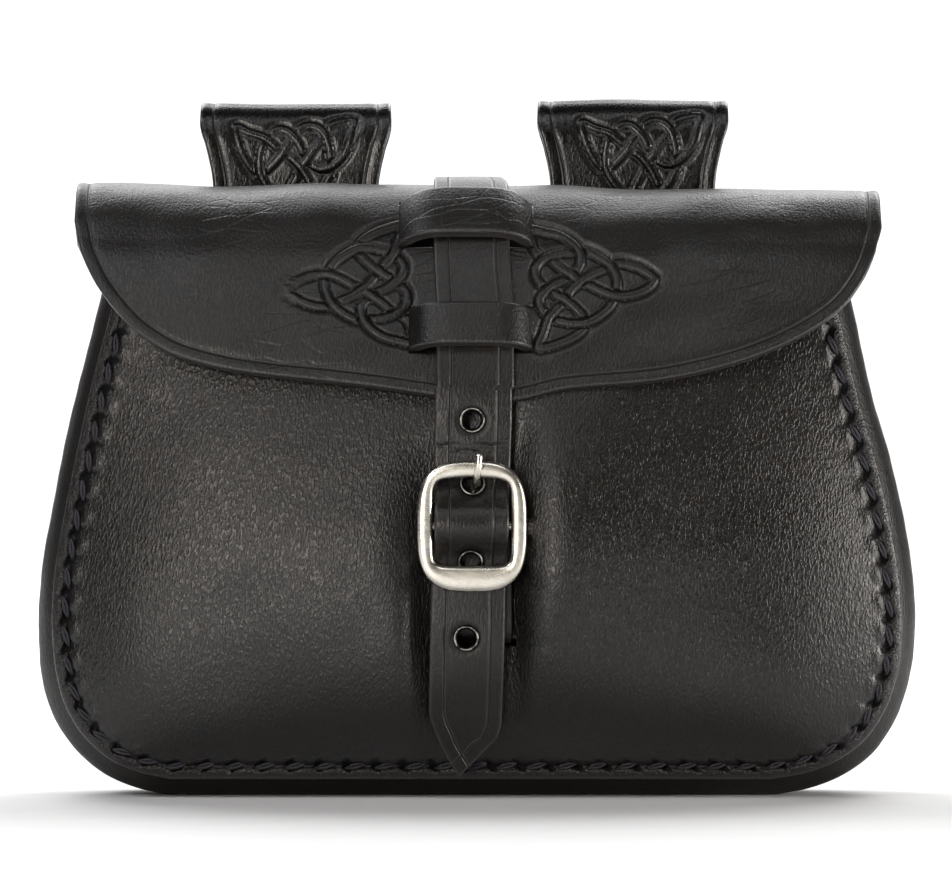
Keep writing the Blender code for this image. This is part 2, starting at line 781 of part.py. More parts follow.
def make_eyelets(strap):
    under = -STRAP_T - EYELET_GAP
    top = EYELET_GAP + EYELET_HEIGHT
    profile = [
        (EYELET_HOLE, under - EYELET_BACK),
        (EYELET_HOLE, top - 0.4),
        (EYELET_HOLE + 0.45, top),
        (EYELET_FLANGE - 0.3, top - 0.35),
        (EYELET_FLANGE, EYELET_GAP),
        (EYELET_BARREL, EYELET_GAP),
        (EYELET_BARREL, under),
        (EYELET_FLANGE - 0.2, under),
        (EYELET_FLANGE - 0.3, under - EYELET_BACK),
    ]
    for n, eyelet in enumerate(EYELETS, 1):
        ring = turned(profile, strap.seat(eyelet.x, eyelet.z))
        add_object(f"eyelet_{n}", ring, BLACKED_BRASS, 0.3, 1.0)


def rounded(angle, wide, high, squareness):
    """A point on a superellipse in the direction of an angle."""
    x, z = math.cos(angle), math.sin(angle)
    reach = (abs(2 * x / wide) ** squareness + abs(2 * z / high) ** squareness) ** (-1 / squareness)
    return Vector((x * reach, z * reach))


def make_buckle_frame():
    bm = bmesh.new()
    rings = []
    for n in range(FRAME_SIDES):
        angle = math.tau * n / FRAME_SIDES
        outer = rounded(angle, FRAME_WIDE, FRAME_HIGH, FRAME_SQUARENESS)
        inner = rounded(angle, WINDOW_WIDE, WINDOW_HIGH, WINDOW_SQUARENESS)
        across = inner.x / WINDOW_WIDE * 2
        inner.y += WINDOW_UP + (WINDOW_ARCH * (1 - across**2) if inner.y > 0 else 0.0)
        t = FRAME_HALF_T
        section = [(0.0, 0.55), (0.14, -0.45), (0.36, -1.0), (0.64, -1.0), (0.86, -0.45), (1.0, 0.55)]
        section += [(0.86, 1.0), (0.14, 1.0)]
        ring = []
        for part, front in section:
            place = outer.lerp(inner, part)
            ring.append(bm.verts.new((BUCKLE_X + place.x, BUCKLE_Y + front * t, BUCKLE_Z + place.y)))
        rings.append(ring)
    for a, b in zip(rings, rings[1:] + rings[:1]):
        for n in range(len(a)):
            m = (n + 1) % len(a)
            bm.faces.new((a[n], a[m], b[m], b[n]))
    bmesh.ops.recalc_face_normals(bm, faces=bm.faces)
    frame = add_object("buckle_frame", bm, NICKEL, 0.25, 1.0)

    bm = bmesh.new()
    bar_y = BUCKLE_Y + BAR_SET_BACK
    half = WINDOW_WIDE / 2
    reach = half + LUG_WIDE / 2
    lie = Matrix.Translation((BUCKLE_X, bar_y, BUCKLE_Z)) @ Matrix.Rotation(math.pi / 2, 4, "Y")
    bmesh.ops.create_cone(
        bm, cap_ends=True, segments=12, radius1=BAR_R, radius2=BAR_R, depth=2 * reach, matrix=lie
    )
    combine(frame, bm, "centre_bar", "UNION")
    for name, side in (("lug_left", -1), ("lug_right", 1)):
        middle = BUCKLE_X + side * (half + 0.2 + LUG_WIDE / 2)
        low = (middle - LUG_WIDE / 2, BUCKLE_Y + 0.3, BUCKLE_Z - 2.0)
        high = (middle + LUG_WIDE / 2, bar_y + BAR_R + 0.3, BUCKLE_Z + 2.0)
        combine(frame, block(low, high), name, "UNION")


def make_buckle_prong():
    bar_y = BUCKLE_Y + BAR_SET_BACK
    curl = BAR_R + GAP - 0.05 + PRONG_CURL_R
    points = []
    for turn in spread(math.radians(50), math.radians(270), 9):
        y = bar_y - curl * math.sin(turn)
        points.append((y, BUCKLE_Z + curl * math.cos(turn), PRONG_CURL_R / PRONG_R))
    shank = Route([Bend(points[-1][0], points[-1][1]), *PRONG_SHANK], 2)
    for n, place in enumerate(shank.points[1:], 1):
        thick = min(1.0, PRONG_CURL_R / PRONG_R + n / 10)
        points.append((place.x, place.y, thick))
    data = bpy.data.curves.new("buckle_prong", "CURVE")
    data.dimensions = "3D"
    data.bevel_depth = PRONG_R * MM
    data.bevel_resolution = 2
    data.use_fill_caps = True
    line = data.splines.new("POLY")
    line.points.add(len(points) - 1)
    for spot, (y, z, thick) in zip(line.points, points):
        x = PRONG_X + PRONG_LEAN * max(z - BUCKLE_Z, 0.0)
        spot.co = (x * MM, y * MM, z * MM, 1.0)
        spot.radius = thick
    data.materials.append(material("buckle_prong_finish", NICKEL, 0.25, 1.0))
    made = bpy.data.objects.new("buckle_prong", data)
    bpy.context.collection.objects.link(made)
    made.parent = bpy.data.objects["bag"]


def chape_route():
    """Outer face of the doubled strip: in through the slit, up, over the bar, down and in again."""
    bar_y = BUCKLE_Y + BAR_SET_BACK
    wrap = BAR_R + GAP + CHAPE_T
    step = 2 * CHAPE_T + GAP

    def rear(z, off=CHAPE_OFF):
        return front_face(SLIT_LEFT, z) - off

    bends = [
        Bend(rear(33.0) + 7.1, 33.0),
        Bend(rear(38.0) + 6.5, 38.2),
        Bend(rear(40.0) + 4.6, 40.5),
        Bend(rear(41.0) + 2.4, 41.3),
        Bend(rear(42.5) + 0.5, 42.6),
        Bend(rear(45.5), 45.5),
        Bend(rear(52.0), 52.0),
        Bend(rear(58.0), 58.0),
        Bend(rear(62.5), 62.5),
        Bend(bar_y + wrap + 0.2, BUCKLE_Z - 1.8),
    ]
    for turn in spread(math.radians(-70), math.radians(135), 7):
        bends.append(Bend(bar_y - wrap * math.sin(turn), BUCKLE_Z + wrap * math.cos(turn)))
    bends += [
        Bend(bar_y + 1.25, BUCKLE_Z - 4.4),
        Bend(rear(61.5) - step + 0.15, 61.5),
        Bend(rear(57.0) - step, 57.0),
        Bend(rear(51.0) - step, 51.0),
        Bend(rear(45.0) - step, 44.8),
        Bend(rear(41.4) - step + 0.7, 41.5),
        Bend(rear(39.3) + 0.4, 39.4),
        Bend(rear(38.5) + 2.6, 38.6),
        Bend(rear(37.0) + 4.0, 36.6),
        Bend(rear(32.0) + 4.5, 32.0),
    ]
    return Route(bends, 2)


def make_buckle_chape():
    route = chape_route()
    rows = []
    for place in route.points:
        z = place.y
        ends = (read(CHAPE_SIDES, "left", z), read(CHAPE_SIDES, "right", z))
        rows.append([(x, place.x, z) for x in ends])
    made = leather("buckle_chape", rows, CHAPE_T, colour=STRAP_LEATHER)
    half = CHAPE_SLOT / 2
    low = (PRONG_X - half, BUCKLE_Y - 4.0, BUCKLE_Z - 3.2)
    high = (PRONG_X + half, BUCKLE_Y + 8.0, BUCKLE_Z + 6.0)
    combine(made, block(low, high), "prong_slot")


# Belt loops


def make_belt_loops():
    route = Route(LOOP_BENDS)
    lengths = spread(0.0, LOOP_SEWN, 4)
    lengths += spread(LOOP_SEWN, LOOP_FOLDED, 19)[1:]
    lengths += spread(LOOP_FOLDED, route.length, 14)[1:]
    for loop in LOOPS:
        rows = []
        for length in lengths:
            place, _ = route.at(length)
            half = read(LOOP_FLARE, "half", place.y)
            z = place.y - loop.drop
            rows.append([(x, place.x, z) for x in (loop.middle + half, loop.middle - half)])
        leather(loop.name, rows, LOOP_T)


def main():
    for old in list(bpy.data.objects):
        bpy.data.objects.remove(old, do_unlink=True)
    bag = bpy.data.objects.new("bag", None)
    bpy.context.collection.objects.link(bag)
    bag.location = (0.0, -DEPTH_MIDDLE * MM, 0.0)
    make_front_panel()
    make_gusset()
    make_back_panel()
    flap = Flap()
    make_flap(flap)
    strap = Strap(flap)
    make_strap(strap)
    make_eyelets(strap)
    make_buckle_frame()
    make_buckle_prong()
    make_buckle_chape()
    make_belt_loops()


main()
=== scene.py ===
# %% [markdown]
# # A black leather belt pouch in its real leather
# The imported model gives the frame: where every piece of the pouch sits and how big it is. This
# script puts the real leather round it, with stitches, pressed knots, creases and grain, and adds
# the metal, the floor, the light and the camera. Nothing moves, so every piece rides on "root".

import math

import bmesh
import bpy
import numpy as np
from mathutils import Matrix, Vector


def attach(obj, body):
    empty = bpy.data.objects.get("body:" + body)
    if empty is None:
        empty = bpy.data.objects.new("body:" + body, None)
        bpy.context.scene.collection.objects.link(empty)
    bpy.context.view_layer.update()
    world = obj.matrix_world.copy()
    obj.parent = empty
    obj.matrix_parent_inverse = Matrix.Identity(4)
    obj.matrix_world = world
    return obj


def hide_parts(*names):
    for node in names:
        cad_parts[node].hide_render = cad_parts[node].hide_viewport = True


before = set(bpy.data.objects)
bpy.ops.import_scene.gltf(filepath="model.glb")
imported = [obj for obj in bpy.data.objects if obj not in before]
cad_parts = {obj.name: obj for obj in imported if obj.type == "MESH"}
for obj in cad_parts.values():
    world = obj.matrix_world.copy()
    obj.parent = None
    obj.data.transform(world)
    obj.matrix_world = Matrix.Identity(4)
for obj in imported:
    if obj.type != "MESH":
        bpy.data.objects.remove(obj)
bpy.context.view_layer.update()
bpy.ops.object.select_all(action="DESELECT")
print("frame:", sorted(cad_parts))

# %% [markdown]
# ## The camera comes first
# The pouch is seen straight on, from its own mid height and from one and a half metres away, so
# a long lens fits it. Everything below is judged through this view.

# %% Camera
camera_data = bpy.data.cameras.new("camera")
camera_data.lens = 221.2
camera_data.sensor_width = 36.0
camera_data.clip_start, camera_data.clip_end = 0.05, 20.0
camera = bpy.data.objects.new("camera", camera_data)
camera.location = (-0.00064, -1.496925, 0.0898)
camera.rotation_euler = (math.radians(90), 0.0, 0.0)
bpy.context.scene.collection.objects.link(camera)
bpy.context.scene.camera = camera
print("camera lens", camera_data.lens)

# %% [markdown]
# ## Tables that the leather follows
# The shape of each piece is a short table in millimetres, as a pattern maker would note it, read
# with a smooth curve that never swings past its own rows. Depth is counted from the middle of the
# gussets, and SHIFT moves it to the middle of the whole pouch, where the frame has it.

# %% Reading a table, and a line in the side view
MM = 0.001
SHIFT = np.array([0.0, 3.075, 0.0])


def read(table, column, at):
    """Smooth values from a table sorted by its first column, with no overshoot."""
    rows = np.array(sorted(table), float)
    keys, values = rows[:, 0], rows[:, column]
    at = np.clip(np.asarray(at, float), keys[0], keys[-1])
    steps = np.diff(values) / np.diff(keys)
    slopes = np.concatenate([steps[:1], np.zeros(len(keys) - 2), steps[-1:]])
    product, total = steps[1:] * steps[:-1], steps[1:] + steps[:-1]
    rising = product > 0
    slopes[1:-1][rising] = 2 * product[rising] / total[rising]
    i = np.clip(np.searchsorted(keys, at, side="right") - 1, 0, len(keys) - 2)
    span = keys[i + 1] - keys[i]
    t = (at - keys[i]) / span
    first = values[i] * (1 + 2 * t) * (1 - t) ** 2 + slopes[i] * span * t * (1 - t) ** 2
    return first + values[i + 1] * t * t * (3 - 2 * t) + slopes[i + 1] * span * t * t * (t - 1)


def through(points, steps):
    """A smooth line through points: centripetal, so it never loops between close ones."""
    p = np.array(points, float)
    p = np.vstack([2 * p[0] - p[1], p, 2 * p[-1] - p[-2]])
    line = [p[1:2]]
    for a, b, c, d in zip(p, p[1:], p[2:], p[3:]):
        tb = math.sqrt(np.linalg.norm(b - a))
        tc = tb + math.sqrt(np.linalg.norm(c - b))
        td = tc + math.sqrt(np.linalg.norm(d - c))
        at = (tb + (tc - tb) * np.linspace(0, 1, steps + 1)[1:])[:, None]
        ab, bc = a + (b - a) * at / tb, b + (c - b) * (at - tb) / (tc - tb)
        cd = c + (d - c) * (at - tc) / (td - tc)
        abc, bcd = ab + (bc - ab) * at / tc, bc + (cd - bc) * (at - tb) / (td - tb)
        line.append(abc + (bcd - abc) * (at - tb) / (tc - tb))
    return np.vstack(line)


def lengths_along(line):
    """How far along a line each of its points is."""
    return np.concatenate([[0], np.cumsum(np.linalg.norm(np.diff(line, axis=0), axis=1))])


def unit(way):
    """The same direction, one unit long."""
    way = np.asarray(way, float)
    return way / np.maximum(np.linalg.norm(way, axis=-1, keepdims=True), 1e-9)


class Route:
    """A line in the side view (depth, height), measured along its length."""

    def __init__(self, bends, steps=24):
        self.points = through(bends, steps)
        self.lengths = lengths_along(self.points)
        self.length = self.lengths[-1]

    def at(self, length):
        return np.stack([np.interp(length, self.lengths, self.points[:, n]) for n in (0, 1)], -1)

    def along(self, length, step=0.6):
        ahead, behind = np.minimum(length + step, self.length), np.maximum(length - step, 0)
        return unit(self.at(ahead) - self.at(behind))

    def outward(self, length):
        """Unit normal on the line's right: outwards, where it runs up the back, down the front."""
        along = self.along(length)
        return np.stack([along[..., 1], -along[..., 0]], -1)

    def length_at_height(self, z, after=0.0):
        """The first length past a given one where the line comes down to a height."""
        high, low = self.points[:-1, 1], self.points[1:, 1]
        found = np.nonzero((self.lengths[1:] > after) & (high >= z) & (low <= z) & (high > low))[0]
        if not len(found):
            return self.length
        n = found[0]
        part = (high[n] - z) / (high[n] - low[n])
        return self.lengths[n] + part * (self.lengths[n + 1] - self.lengths[n])


def hump(distance, width):
    """A soft bump: 1 at distance 0, gone a few widths away."""
    return np.exp(-((distance / width) ** 2))


def ease(low, high, at):
    """Rises smoothly from 0 to 1 between two values."""
    t = np.clip((at - low) / (high - low), 0, 1)
    return t * t * (3 - 2 * t)


WAVES = 9


def ripple(x, z, seed, scale):
    """Gentle unevenness of soft leather, between about -1 and 1: a few waves that cross."""
    dice = np.random.default_rng(seed)
    total = np.zeros(np.broadcast(x, z).shape)
    for _ in range(WAVES):
        turn, phase = dice.uniform(0, math.tau, 2)
        length = scale * dice.uniform(0.7, 1.7)
        total += np.sin((x * math.cos(turn) + z * math.sin(turn)) * math.tau / length + phase)
    return total / math.sqrt(WAVES)


# %% [markdown]
# ## A leather wall
# Every leather piece is a sheet about two millimetres thick. Its outer face is a fine grid, because
# it carries the pressed work; its inner face needs far fewer points, so it keeps only some of the
# rows and columns. The cut edge joins them. A grid lets each point know how far it is from the
# edge, and the finish uses that distance for its creases.

# %% Making a wall from a grid
def rounded_off(edge, radius=0.75):
    """How far the face has dropped at a distance from its burnished cut edge."""
    inside = np.clip(radius - edge, 0, radius)
    return radius - np.sqrt(radius**2 - inside**2)


def grid_normals(face, along=None):
    """Unit normals of a grid of points: row direction x column direction."""
    down = np.gradient(face, axis=0) if along is None else along
    return unit(np.cross(down, np.gradient(face, axis=1)))


def on_route(x, place, outward, sink, drop=0.0):
    """Face and normals of leather that follows a route, sunk below it, and the whole lowered."""
    spots = place - outward * sink[..., None]
    face = np.stack([x, spots[..., 0], spots[..., 1] - drop], -1)
    return face, np.stack([0 * x, outward[..., 0] + 0 * x, outward[..., 1] + 0 * x], -1)


def every(step, count, first=0):
    """Each step-th of so many rows or columns, and the last."""
    return [*range(first, count, step), count - 1]


def select(piece):
    bpy.ops.object.select_all(action="DESELECT")
    piece.select_set(True)
    bpy.context.view_layer.objects.active = piece


def edit(operator, **settings):
    """Run a mesh operator on all of the active piece."""
    bpy.ops.object.mode_set(mode="EDIT")
    bpy.ops.mesh.select_all(action="SELECT")
    operator(**settings)
    bpy.ops.object.mode_set(mode="OBJECT")


def smooth_below(degrees):
    """Shade the piece smooth, except at edges sharper than this."""
    bpy.ops.object.shade_smooth_by_angle(angle=math.radians(degrees))


def put(name, mesh):
    """Make a piece of a finished mesh."""
    piece = bpy.data.objects.new(name, mesh)
    bpy.context.scene.collection.objects.link(piece)
    return piece


def mesh_of(name, points, faces, marks):
    """A mesh from points in millimetres; marks are numbers that its points keep for the finish."""
    mesh = bpy.data.meshes.new(name)
    mesh.from_pydata(((points + SHIFT) * MM).tolist(), [], faces)
    for key, values in marks.items():
        layer = mesh.attributes.new(key, "FLOAT", "POINT")
        layer.data.foreach_set("value", np.asarray(values, np.float32).ravel())
    return mesh


def wall(name, face, normal, thickness, marks, missing=None, rows=None, columns=None, ring=False):
    """A closed sheet: the outer grid, an inner grid on the rows and columns named, and the edge.

    A ring's columns go all the way round, and its last row is one point. missing says which of
    the grid's faces are holes."""
    height, width = face.shape[:2]
    rows = np.arange(height) if rows is None else np.unique(rows)
    columns = np.arange(width) if columns is None else np.unique(columns)
    number = np.arange(height * width).reshape(height, width)
    present = np.ones((height - 1, width - 1), bool)
    if missing is not None:
        present &= ~missing
    quads = np.stack([number[:-1, :-1], number[1:, :-1], number[1:, 1:], number[:-1, 1:]], -1)
    faces = quads[present].tolist()
    inner = (face - normal * thickness)[np.ix_(rows, columns)]
    count = len(rows) * len(columns)
    inner_number = height * width + np.arange(count).reshape(len(rows), len(columns))
    kept = present[np.ix_(rows[:-1], columns[:-1])]
    padded = np.pad(kept, 1)
    for i, j in zip(*np.nonzero(kept)):
        r0, r1, c0, c1 = rows[i], rows[i + 1], columns[j], columns[j + 1]
        a, b = inner_number[i, j], inner_number[i + 1, j]
        c, d = inner_number[i + 1, j + 1], inner_number[i, j + 1]
        faces.append([a, d, c, b])
        if not padded[i, j + 1]:
            faces.append([*number[r0, c0 : c1 + 1], d, a])
        if ring:
            continue
        if not padded[i + 2, j + 1]:
            faces.append([*number[r1, c0 : c1 + 1][::-1], b, c])
        if not padded[i + 1, j]:
            faces.append([*number[r0 : r1 + 1, c0][::-1], a, b])
        if not padded[i + 1, j + 2]:
            faces.append([*number[r0 : r1 + 1, c1], c, d])
    points = np.vstack([face.reshape(-1, 3), inner.reshape(-1, 3)])
    spread = {"flesh": np.concatenate([np.zeros(height * width), np.ones(count)])}
    for key, values in marks.items():
        outer = np.broadcast_to(values, (height, width)).ravel()
        spread[key] = np.concatenate([outer, np.zeros(count)])
    mesh = mesh_of(name, points, [[int(v) for v in f] for f in faces], spread)
    bm = bmesh.new()
    bm.from_mesh(mesh)
    bmesh.ops.remove_doubles(bm, verts=bm.verts, dist=2e-6)
    bmesh.ops.delete(bm, geom=[e for e in bm.edges if not e.link_faces], context="EDGES")
    bmesh.ops.delete(bm, geom=[v for v in bm.verts if not v.link_faces], context="VERTS")
    open_edges = sum(len(e.link_faces) != 2 for e in bm.edges)
    bmesh.ops.recalc_face_normals(bm, faces=bm.faces)
    bm.to_mesh(mesh)
    bm.free()
    piece = put(name, mesh)
    select(piece)
    smooth_below(50)
    triangles = sum(len(p.vertices) - 2 for p in mesh.polygons)
    print(f"{name}: {triangles} triangles, {open_edges} open edges")
    return piece


# %% [markdown]
# ## Writing finishes as sums
# A finish is a network of nodes, but it reads better as arithmetic. Sum wraps one socket: adding,
# subtracting, multiplying or dividing it makes the Math node that does so.

# %% A small language for shaders
class Sum:
    """A value in a node tree; arithmetic on it adds Math nodes."""

    def __init__(self, tree, socket):
        self.tree, self.socket = tree, socket

    def math(self, operation, *others, clamp=False):
        node = self.tree.nodes.new("ShaderNodeMath")
        node.operation, node.use_clamp = operation, clamp
        for slot, value in zip(node.inputs, others):
            if isinstance(value, Sum):
                self.tree.links.new(value.socket, slot)
            else:
                slot.default_value = value
        return Sum(self.tree, node.outputs[0])

    def __add__(self, other):
        return self.math("ADD", self, other)

    def __sub__(self, other):
        return self.math("SUBTRACT", self, other)

    def __rsub__(self, other):
        return self.math("SUBTRACT", other, self)

    def __mul__(self, other):
        return self.math("MULTIPLY", self, other)

    def __truediv__(self, other):
        return self.math("DIVIDE", self, other)

    __radd__, __rmul__ = __add__, __mul__

    def clamped(self):
        return self.math("ADD", self, 0.0, clamp=True)

    def smooth(self):
        return self * self * (3.0 - 2.0 * self)

    def line(self, at, width):
        """1 where the value is at a place, 0 from a width away: a pressed line."""
        away = self.math("ABSOLUTE", self - at)
        return self.math("SUBTRACT", 1.0, away / width, clamp=True).smooth()

    def rise(self, low, high):
        """0 below low, 1 above high."""
        return self.math("DIVIDE", self - low, high - low, clamp=True).smooth()


class Finish:
    """One material and its Principled shader."""

    def __init__(self, name, **constants):
        self.material = bpy.data.materials.new(name)
        self.material.use_nodes = True
        self.tree = self.material.node_tree
        self.shader = self.tree.nodes["Principled BSDF"]
        self.place = self.node("ShaderNodeTexCoord").outputs["Object"]
        for key, value in constants.items():
            self.shader.inputs[key.replace("_", " ")].default_value = value

    def node(self, kind, settings=None, **sockets):
        """Any node: its settings first, then values or links for its sockets, by name or number."""
        made = self.tree.nodes.new(kind)
        for key, value in (settings or {}).items():
            setattr(made, key, value)
        for key, value in sockets.items():
            slot = made.inputs[int(key[1:]) if key[1:].isdigit() else key]
            value = value.socket if isinstance(value, Sum) else value
            if isinstance(value, bpy.types.NodeSocket):
                self.tree.links.new(value, slot)
            else:
                slot.default_value = value
        return made

    def value(self, kind, output, settings=None, **sockets):
        """The same for a node that gives one number, ready for arithmetic."""
        return Sum(self.tree, self.node(kind, settings, **sockets).outputs[output])

    def mark(self, name):
        """A number kept with each point of the piece's mesh, or 0 where it keeps none."""
        return self.value("ShaderNodeAttribute", "Fac", {"attribute_name": name})

    def stretched(self, by, turn=(0.0, 0.0, 0.0)):
        """Places for a pattern that is drawn out along its own axes, after it is turned."""
        kind = {"vector_type": "TEXTURE"}
        made = self.node("ShaderNodeMapping", kind, Vector=self.place, Scale=by, Rotation=turn)
        return made.outputs[0]

    def noise(self, scale, detail=2.0, rough=0.5, where=None, warp=0.0):
        return self.value(
            "ShaderNodeTexNoise", "Fac", Vector=where or self.place, Scale=scale, Detail=detail,
            Roughness=rough, Distortion=warp,
        )

    def cells(self, scale, where):
        """Distance from the borders of a pattern of cells."""
        kind = {"feature": "DISTANCE_TO_EDGE"}
        return self.value("ShaderNodeTexVoronoi", "Distance", kind, Vector=where, Scale=scale)

    def mix(self, part, first, second):
        made = self.node("ShaderNodeMix", {"data_type": "RGBA"}, i0=part, i6=first, i7=second)
        return made.outputs[2]

    def set(self, key, value):
        socket = value.socket if isinstance(value, Sum) else value
        self.tree.links.new(socket, self.shader.inputs[key])

    def bump(self, height):
        """Height in millimetres."""
        self.set("Normal", self.node("ShaderNodeBump", Height=height, Distance=MM).outputs[0])


# %% [markdown]
# ## Black bridle leather
# The hide is dyed almost black and waxed. Its grain is a mass of tiny wrinkles, twice or three
# times as long as wide, that run down the bag; their raised streaks are painted a lighter brownish
# grey as a painted highlight, with the dye darker in the valleys. Pressed lines are painted black
# inside as shade, with a painted highlight on a thin rim; cut edges are burnished smooth and
# painted lighter, partly abrasion and partly a painted highlight.
# The flesh side is dull. One function makes the finish, and each piece says how strong its grain is
# and where its creases run.

# %% The leather finish
DYE_DARK = (0.0018, 0.0017, 0.0017, 1.0)
# Lighter colour of the grain's raised streaks: a painted highlight over the real dye.
DYE_AND_SHEEN = (0.0140, 0.0098, 0.0070, 1.0)
FLESH = (0.030, 0.025, 0.022, 1.0)
# Painted highlight on crease rims, knot rims and cut edges, partly real abrasion.
RUBBED_AND_SHEEN = (0.060, 0.056, 0.056, 1.0)
# Painted shade in pressed lines, stitch notches, knot grooves and round the eyelets.
PAINTED_SHADE = (0.0015, 0.0015, 0.0015, 1.0)
LAY = 0.14  # the wrinkles lean this much from straight down
CREASE_WIDTH, RIM_OFF, RIM_WIDTH = 0.34, 0.45, 0.3


def leather(name, grain, rough, crease=None, tone=1.0, folds=False):
    """A black leather finish. crease is a distance from the cut edge in millimetres."""
    hide = Finish(name, Specular_IOR_Level=0.5)
    down, shorter, longer = (
        hide.stretched((1.0, 1.0, by), (0.0, LAY, 0.0)) for by in (2.3, 1.6, 1.9)
    )
    wrinkle = hide.noise(1750.0, 1.5, where=down, warp=0.35).rise(0.34, 0.66)
    speck = hide.noise(3400.0, 1.0, where=shorter)
    cell = hide.cells(900.0, longer).rise(0.0, 0.12)
    broad, patch = hide.noise(38.0, 3.0), hide.noise(11.0)
    height = (wrinkle * 0.056 + speck * 0.018 + cell * 0.008) * grain + broad * 0.03
    flesh, dark, wear, pucker = (hide.mark(key) for key in ("flesh", "press", "wear", "pucker"))
    height = height + hide.noise(1500.0).rise(0.35, 0.65) * pucker * 0.16
    if crease:
        edges = hide.mark("edge"), hide.mark("edge_b")
        lines, rim_sheen = (
            (edges[0].line(at, width) + edges[1].line(at, width)).clamped()
            for at, width in ((crease, CREASE_WIDTH), (crease + RIM_OFF, RIM_WIDTH))
        )
        height = height - lines * 0.24 + rim_sheen * 0.07
        # Creases are painted black inside as shade, with a painted highlight on their rims.
        wear, dark = wear + rim_sheen * 0.35, (dark + lines).clamped()
    if folds:
        sideways = hide.stretched((3.5, 1.0, 1.0), (0.0, -0.2, 0.0))
        crack = 1.0 - hide.cells(240.0, sideways).rise(0.0, 0.07)
        height = height - crack * 0.06 * hide.noise(34.0, 1.0).rise(0.48, 0.62)
    # Lighter where wrinkles and specks stand up, a painted highlight on the grain, mixed with
    # random tone; tone scales it.
    shade = (wrinkle * 0.70 + speck * 0.40 + broad * 0.3 + patch * 0.3 - 0.62).clamped() * tone
    colour = hide.mix(shade, DYE_DARK, DYE_AND_SHEEN)
    # Painted highlight on rims and cut edges, partly real abrasion.
    colour = hide.mix(wear.clamped(), colour, RUBBED_AND_SHEEN)
    # Painted shade in the pressed lines and notches.
    colour = hide.mix((dark * 0.9).clamped(), colour, PAINTED_SHADE)
    hide.set("Base Color", hide.mix(flesh, colour, FLESH))
    gloss = rough + (0.5 - wrinkle) * 0.10 + (broad - 0.5) * 0.12
    hide.set("Roughness", (gloss + dark * 0.25 - wear * 0.06 + flesh * 0.3).clamped())
    hide.bump(height)
    return hide.material


def finish_off(piece, finish, slot, *nodes):
    """Give a finished piece its material and its body, and hide the nodes it stands for. slot is
    not used.
    """
    piece.data.materials.clear()
    piece.data.materials.append(finish)
    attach(piece, "root")
    if nodes:
        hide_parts(*nodes)


print("finish language ready")

# %% [markdown]
# ## The front panel
# One soft piece of leather, sewn round its rim and pushed out by the pouch's depth. It could be a
# lofted grid, but a grid has corners where this outline is round. Rings that follow the outline,
# one inside the other down to a point hidden behind the buckle, let the seam, its stitch holes and
# its puckers run exactly along the edge.

# %% The outline of the panels
PANEL_T, GUSSET_T, GAP = 2.0, 1.8, 0.3
FRONT_FOOT, FRONT_LEAN, BACK_FACE = -21.0, 0.03, 21.0
PANEL_FOOT, FRONT_TOP, BACK_TOP, SEAM_INSET = 4.6, 134.0, 129.0, 3.4
PANEL_SIDES = [  # height, left, right
    (4.6, -78.0, 74.0), (6.2, -85.5, 83.0), (9.5, -93.2, 91.2), (14.6, -99.2, 97.9),
    (19.6, -102.9, 101.6), (26.0, -105.7, 104.6), (35.0, -107.5, 106.8), (45.0, -108.1, 107.4),
    (55.0, -107.6, 106.7), (67.0, -105.8, 104.9), (84.0, -102.5, 101.2), (104.0, -98.2, 95.8),
    (125.0, -92.7, 91.0), (134.0, -90.2, 88.8),
]
PANELS_WIDEST = 45.0  # the height where the bottom corners end
FRONT_SWELL = [(4.6, 19.0), (60, 18.7), (80, 16.6), (100, 13.0), (120, 7.7), (134, 2.4)]
RUN_LEFT, RUN_RIGHT = 42.0, 32.0  # the swell grows to two thirds this far from the seam
RUN_CHANGE = 120.0  # over this width
BOTTOM_FASTER = 2.2  # it grows faster up from the bottom than in from the sides
CREST_OUT, CREST_WIDE, CREST_RUN = 4.5, 27.0, 20.0  # a soft crest, leaning to the right
CREST_MIDDLE, CREST_LEAN, CREST_HEIGHT = 14.0, 0.36, 55.0
FRONT_HELD = [  # how far the tight strap lets the middle stand out, in a trough under it
    (4.6, 0), (8.6, 0.6), (11.4, 2.8), (15.5, 5.5), (21, 8.1), (28.5, 10.0), (39, 10.9), (51, 11.2),
    (76, 12.6), (91, 13.0), (102, 12.4), (113, 10.2), (124, 7.0), (134, 2.4),
]
TROUGH_CENTRE, TROUGH_WIDE, TROUGH_STEEP = -2.0, 15.5, 6


def front_seam_y(z):
    return FRONT_FOOT + FRONT_LEAN * z


def lower_edge(x):
    """Height of the panels' cut edge under a point of the bottom corners."""
    heights = np.linspace(PANEL_FOOT, PANELS_WIDEST, 300)
    left, right = read(PANEL_SIDES, 1, heights), read(PANEL_SIDES, 2, heights)
    return np.where(x < 0, np.interp(-x, -left, heights), np.interp(x, right, heights))


def inward(x, z, faster_up=1.0):
    """How far a place of the front panel is from its seam, smoothly in the corners too."""
    side = np.minimum(x - read(PANEL_SIDES, 1, z), read(PANEL_SIDES, 2, z) - x)
    across = np.maximum(side - SEAM_INSET, 1e-6)
    up = np.maximum(z - lower_edge(x) - SEAM_INSET, 1e-6) * faster_up
    return across * up / np.hypot(across, up)


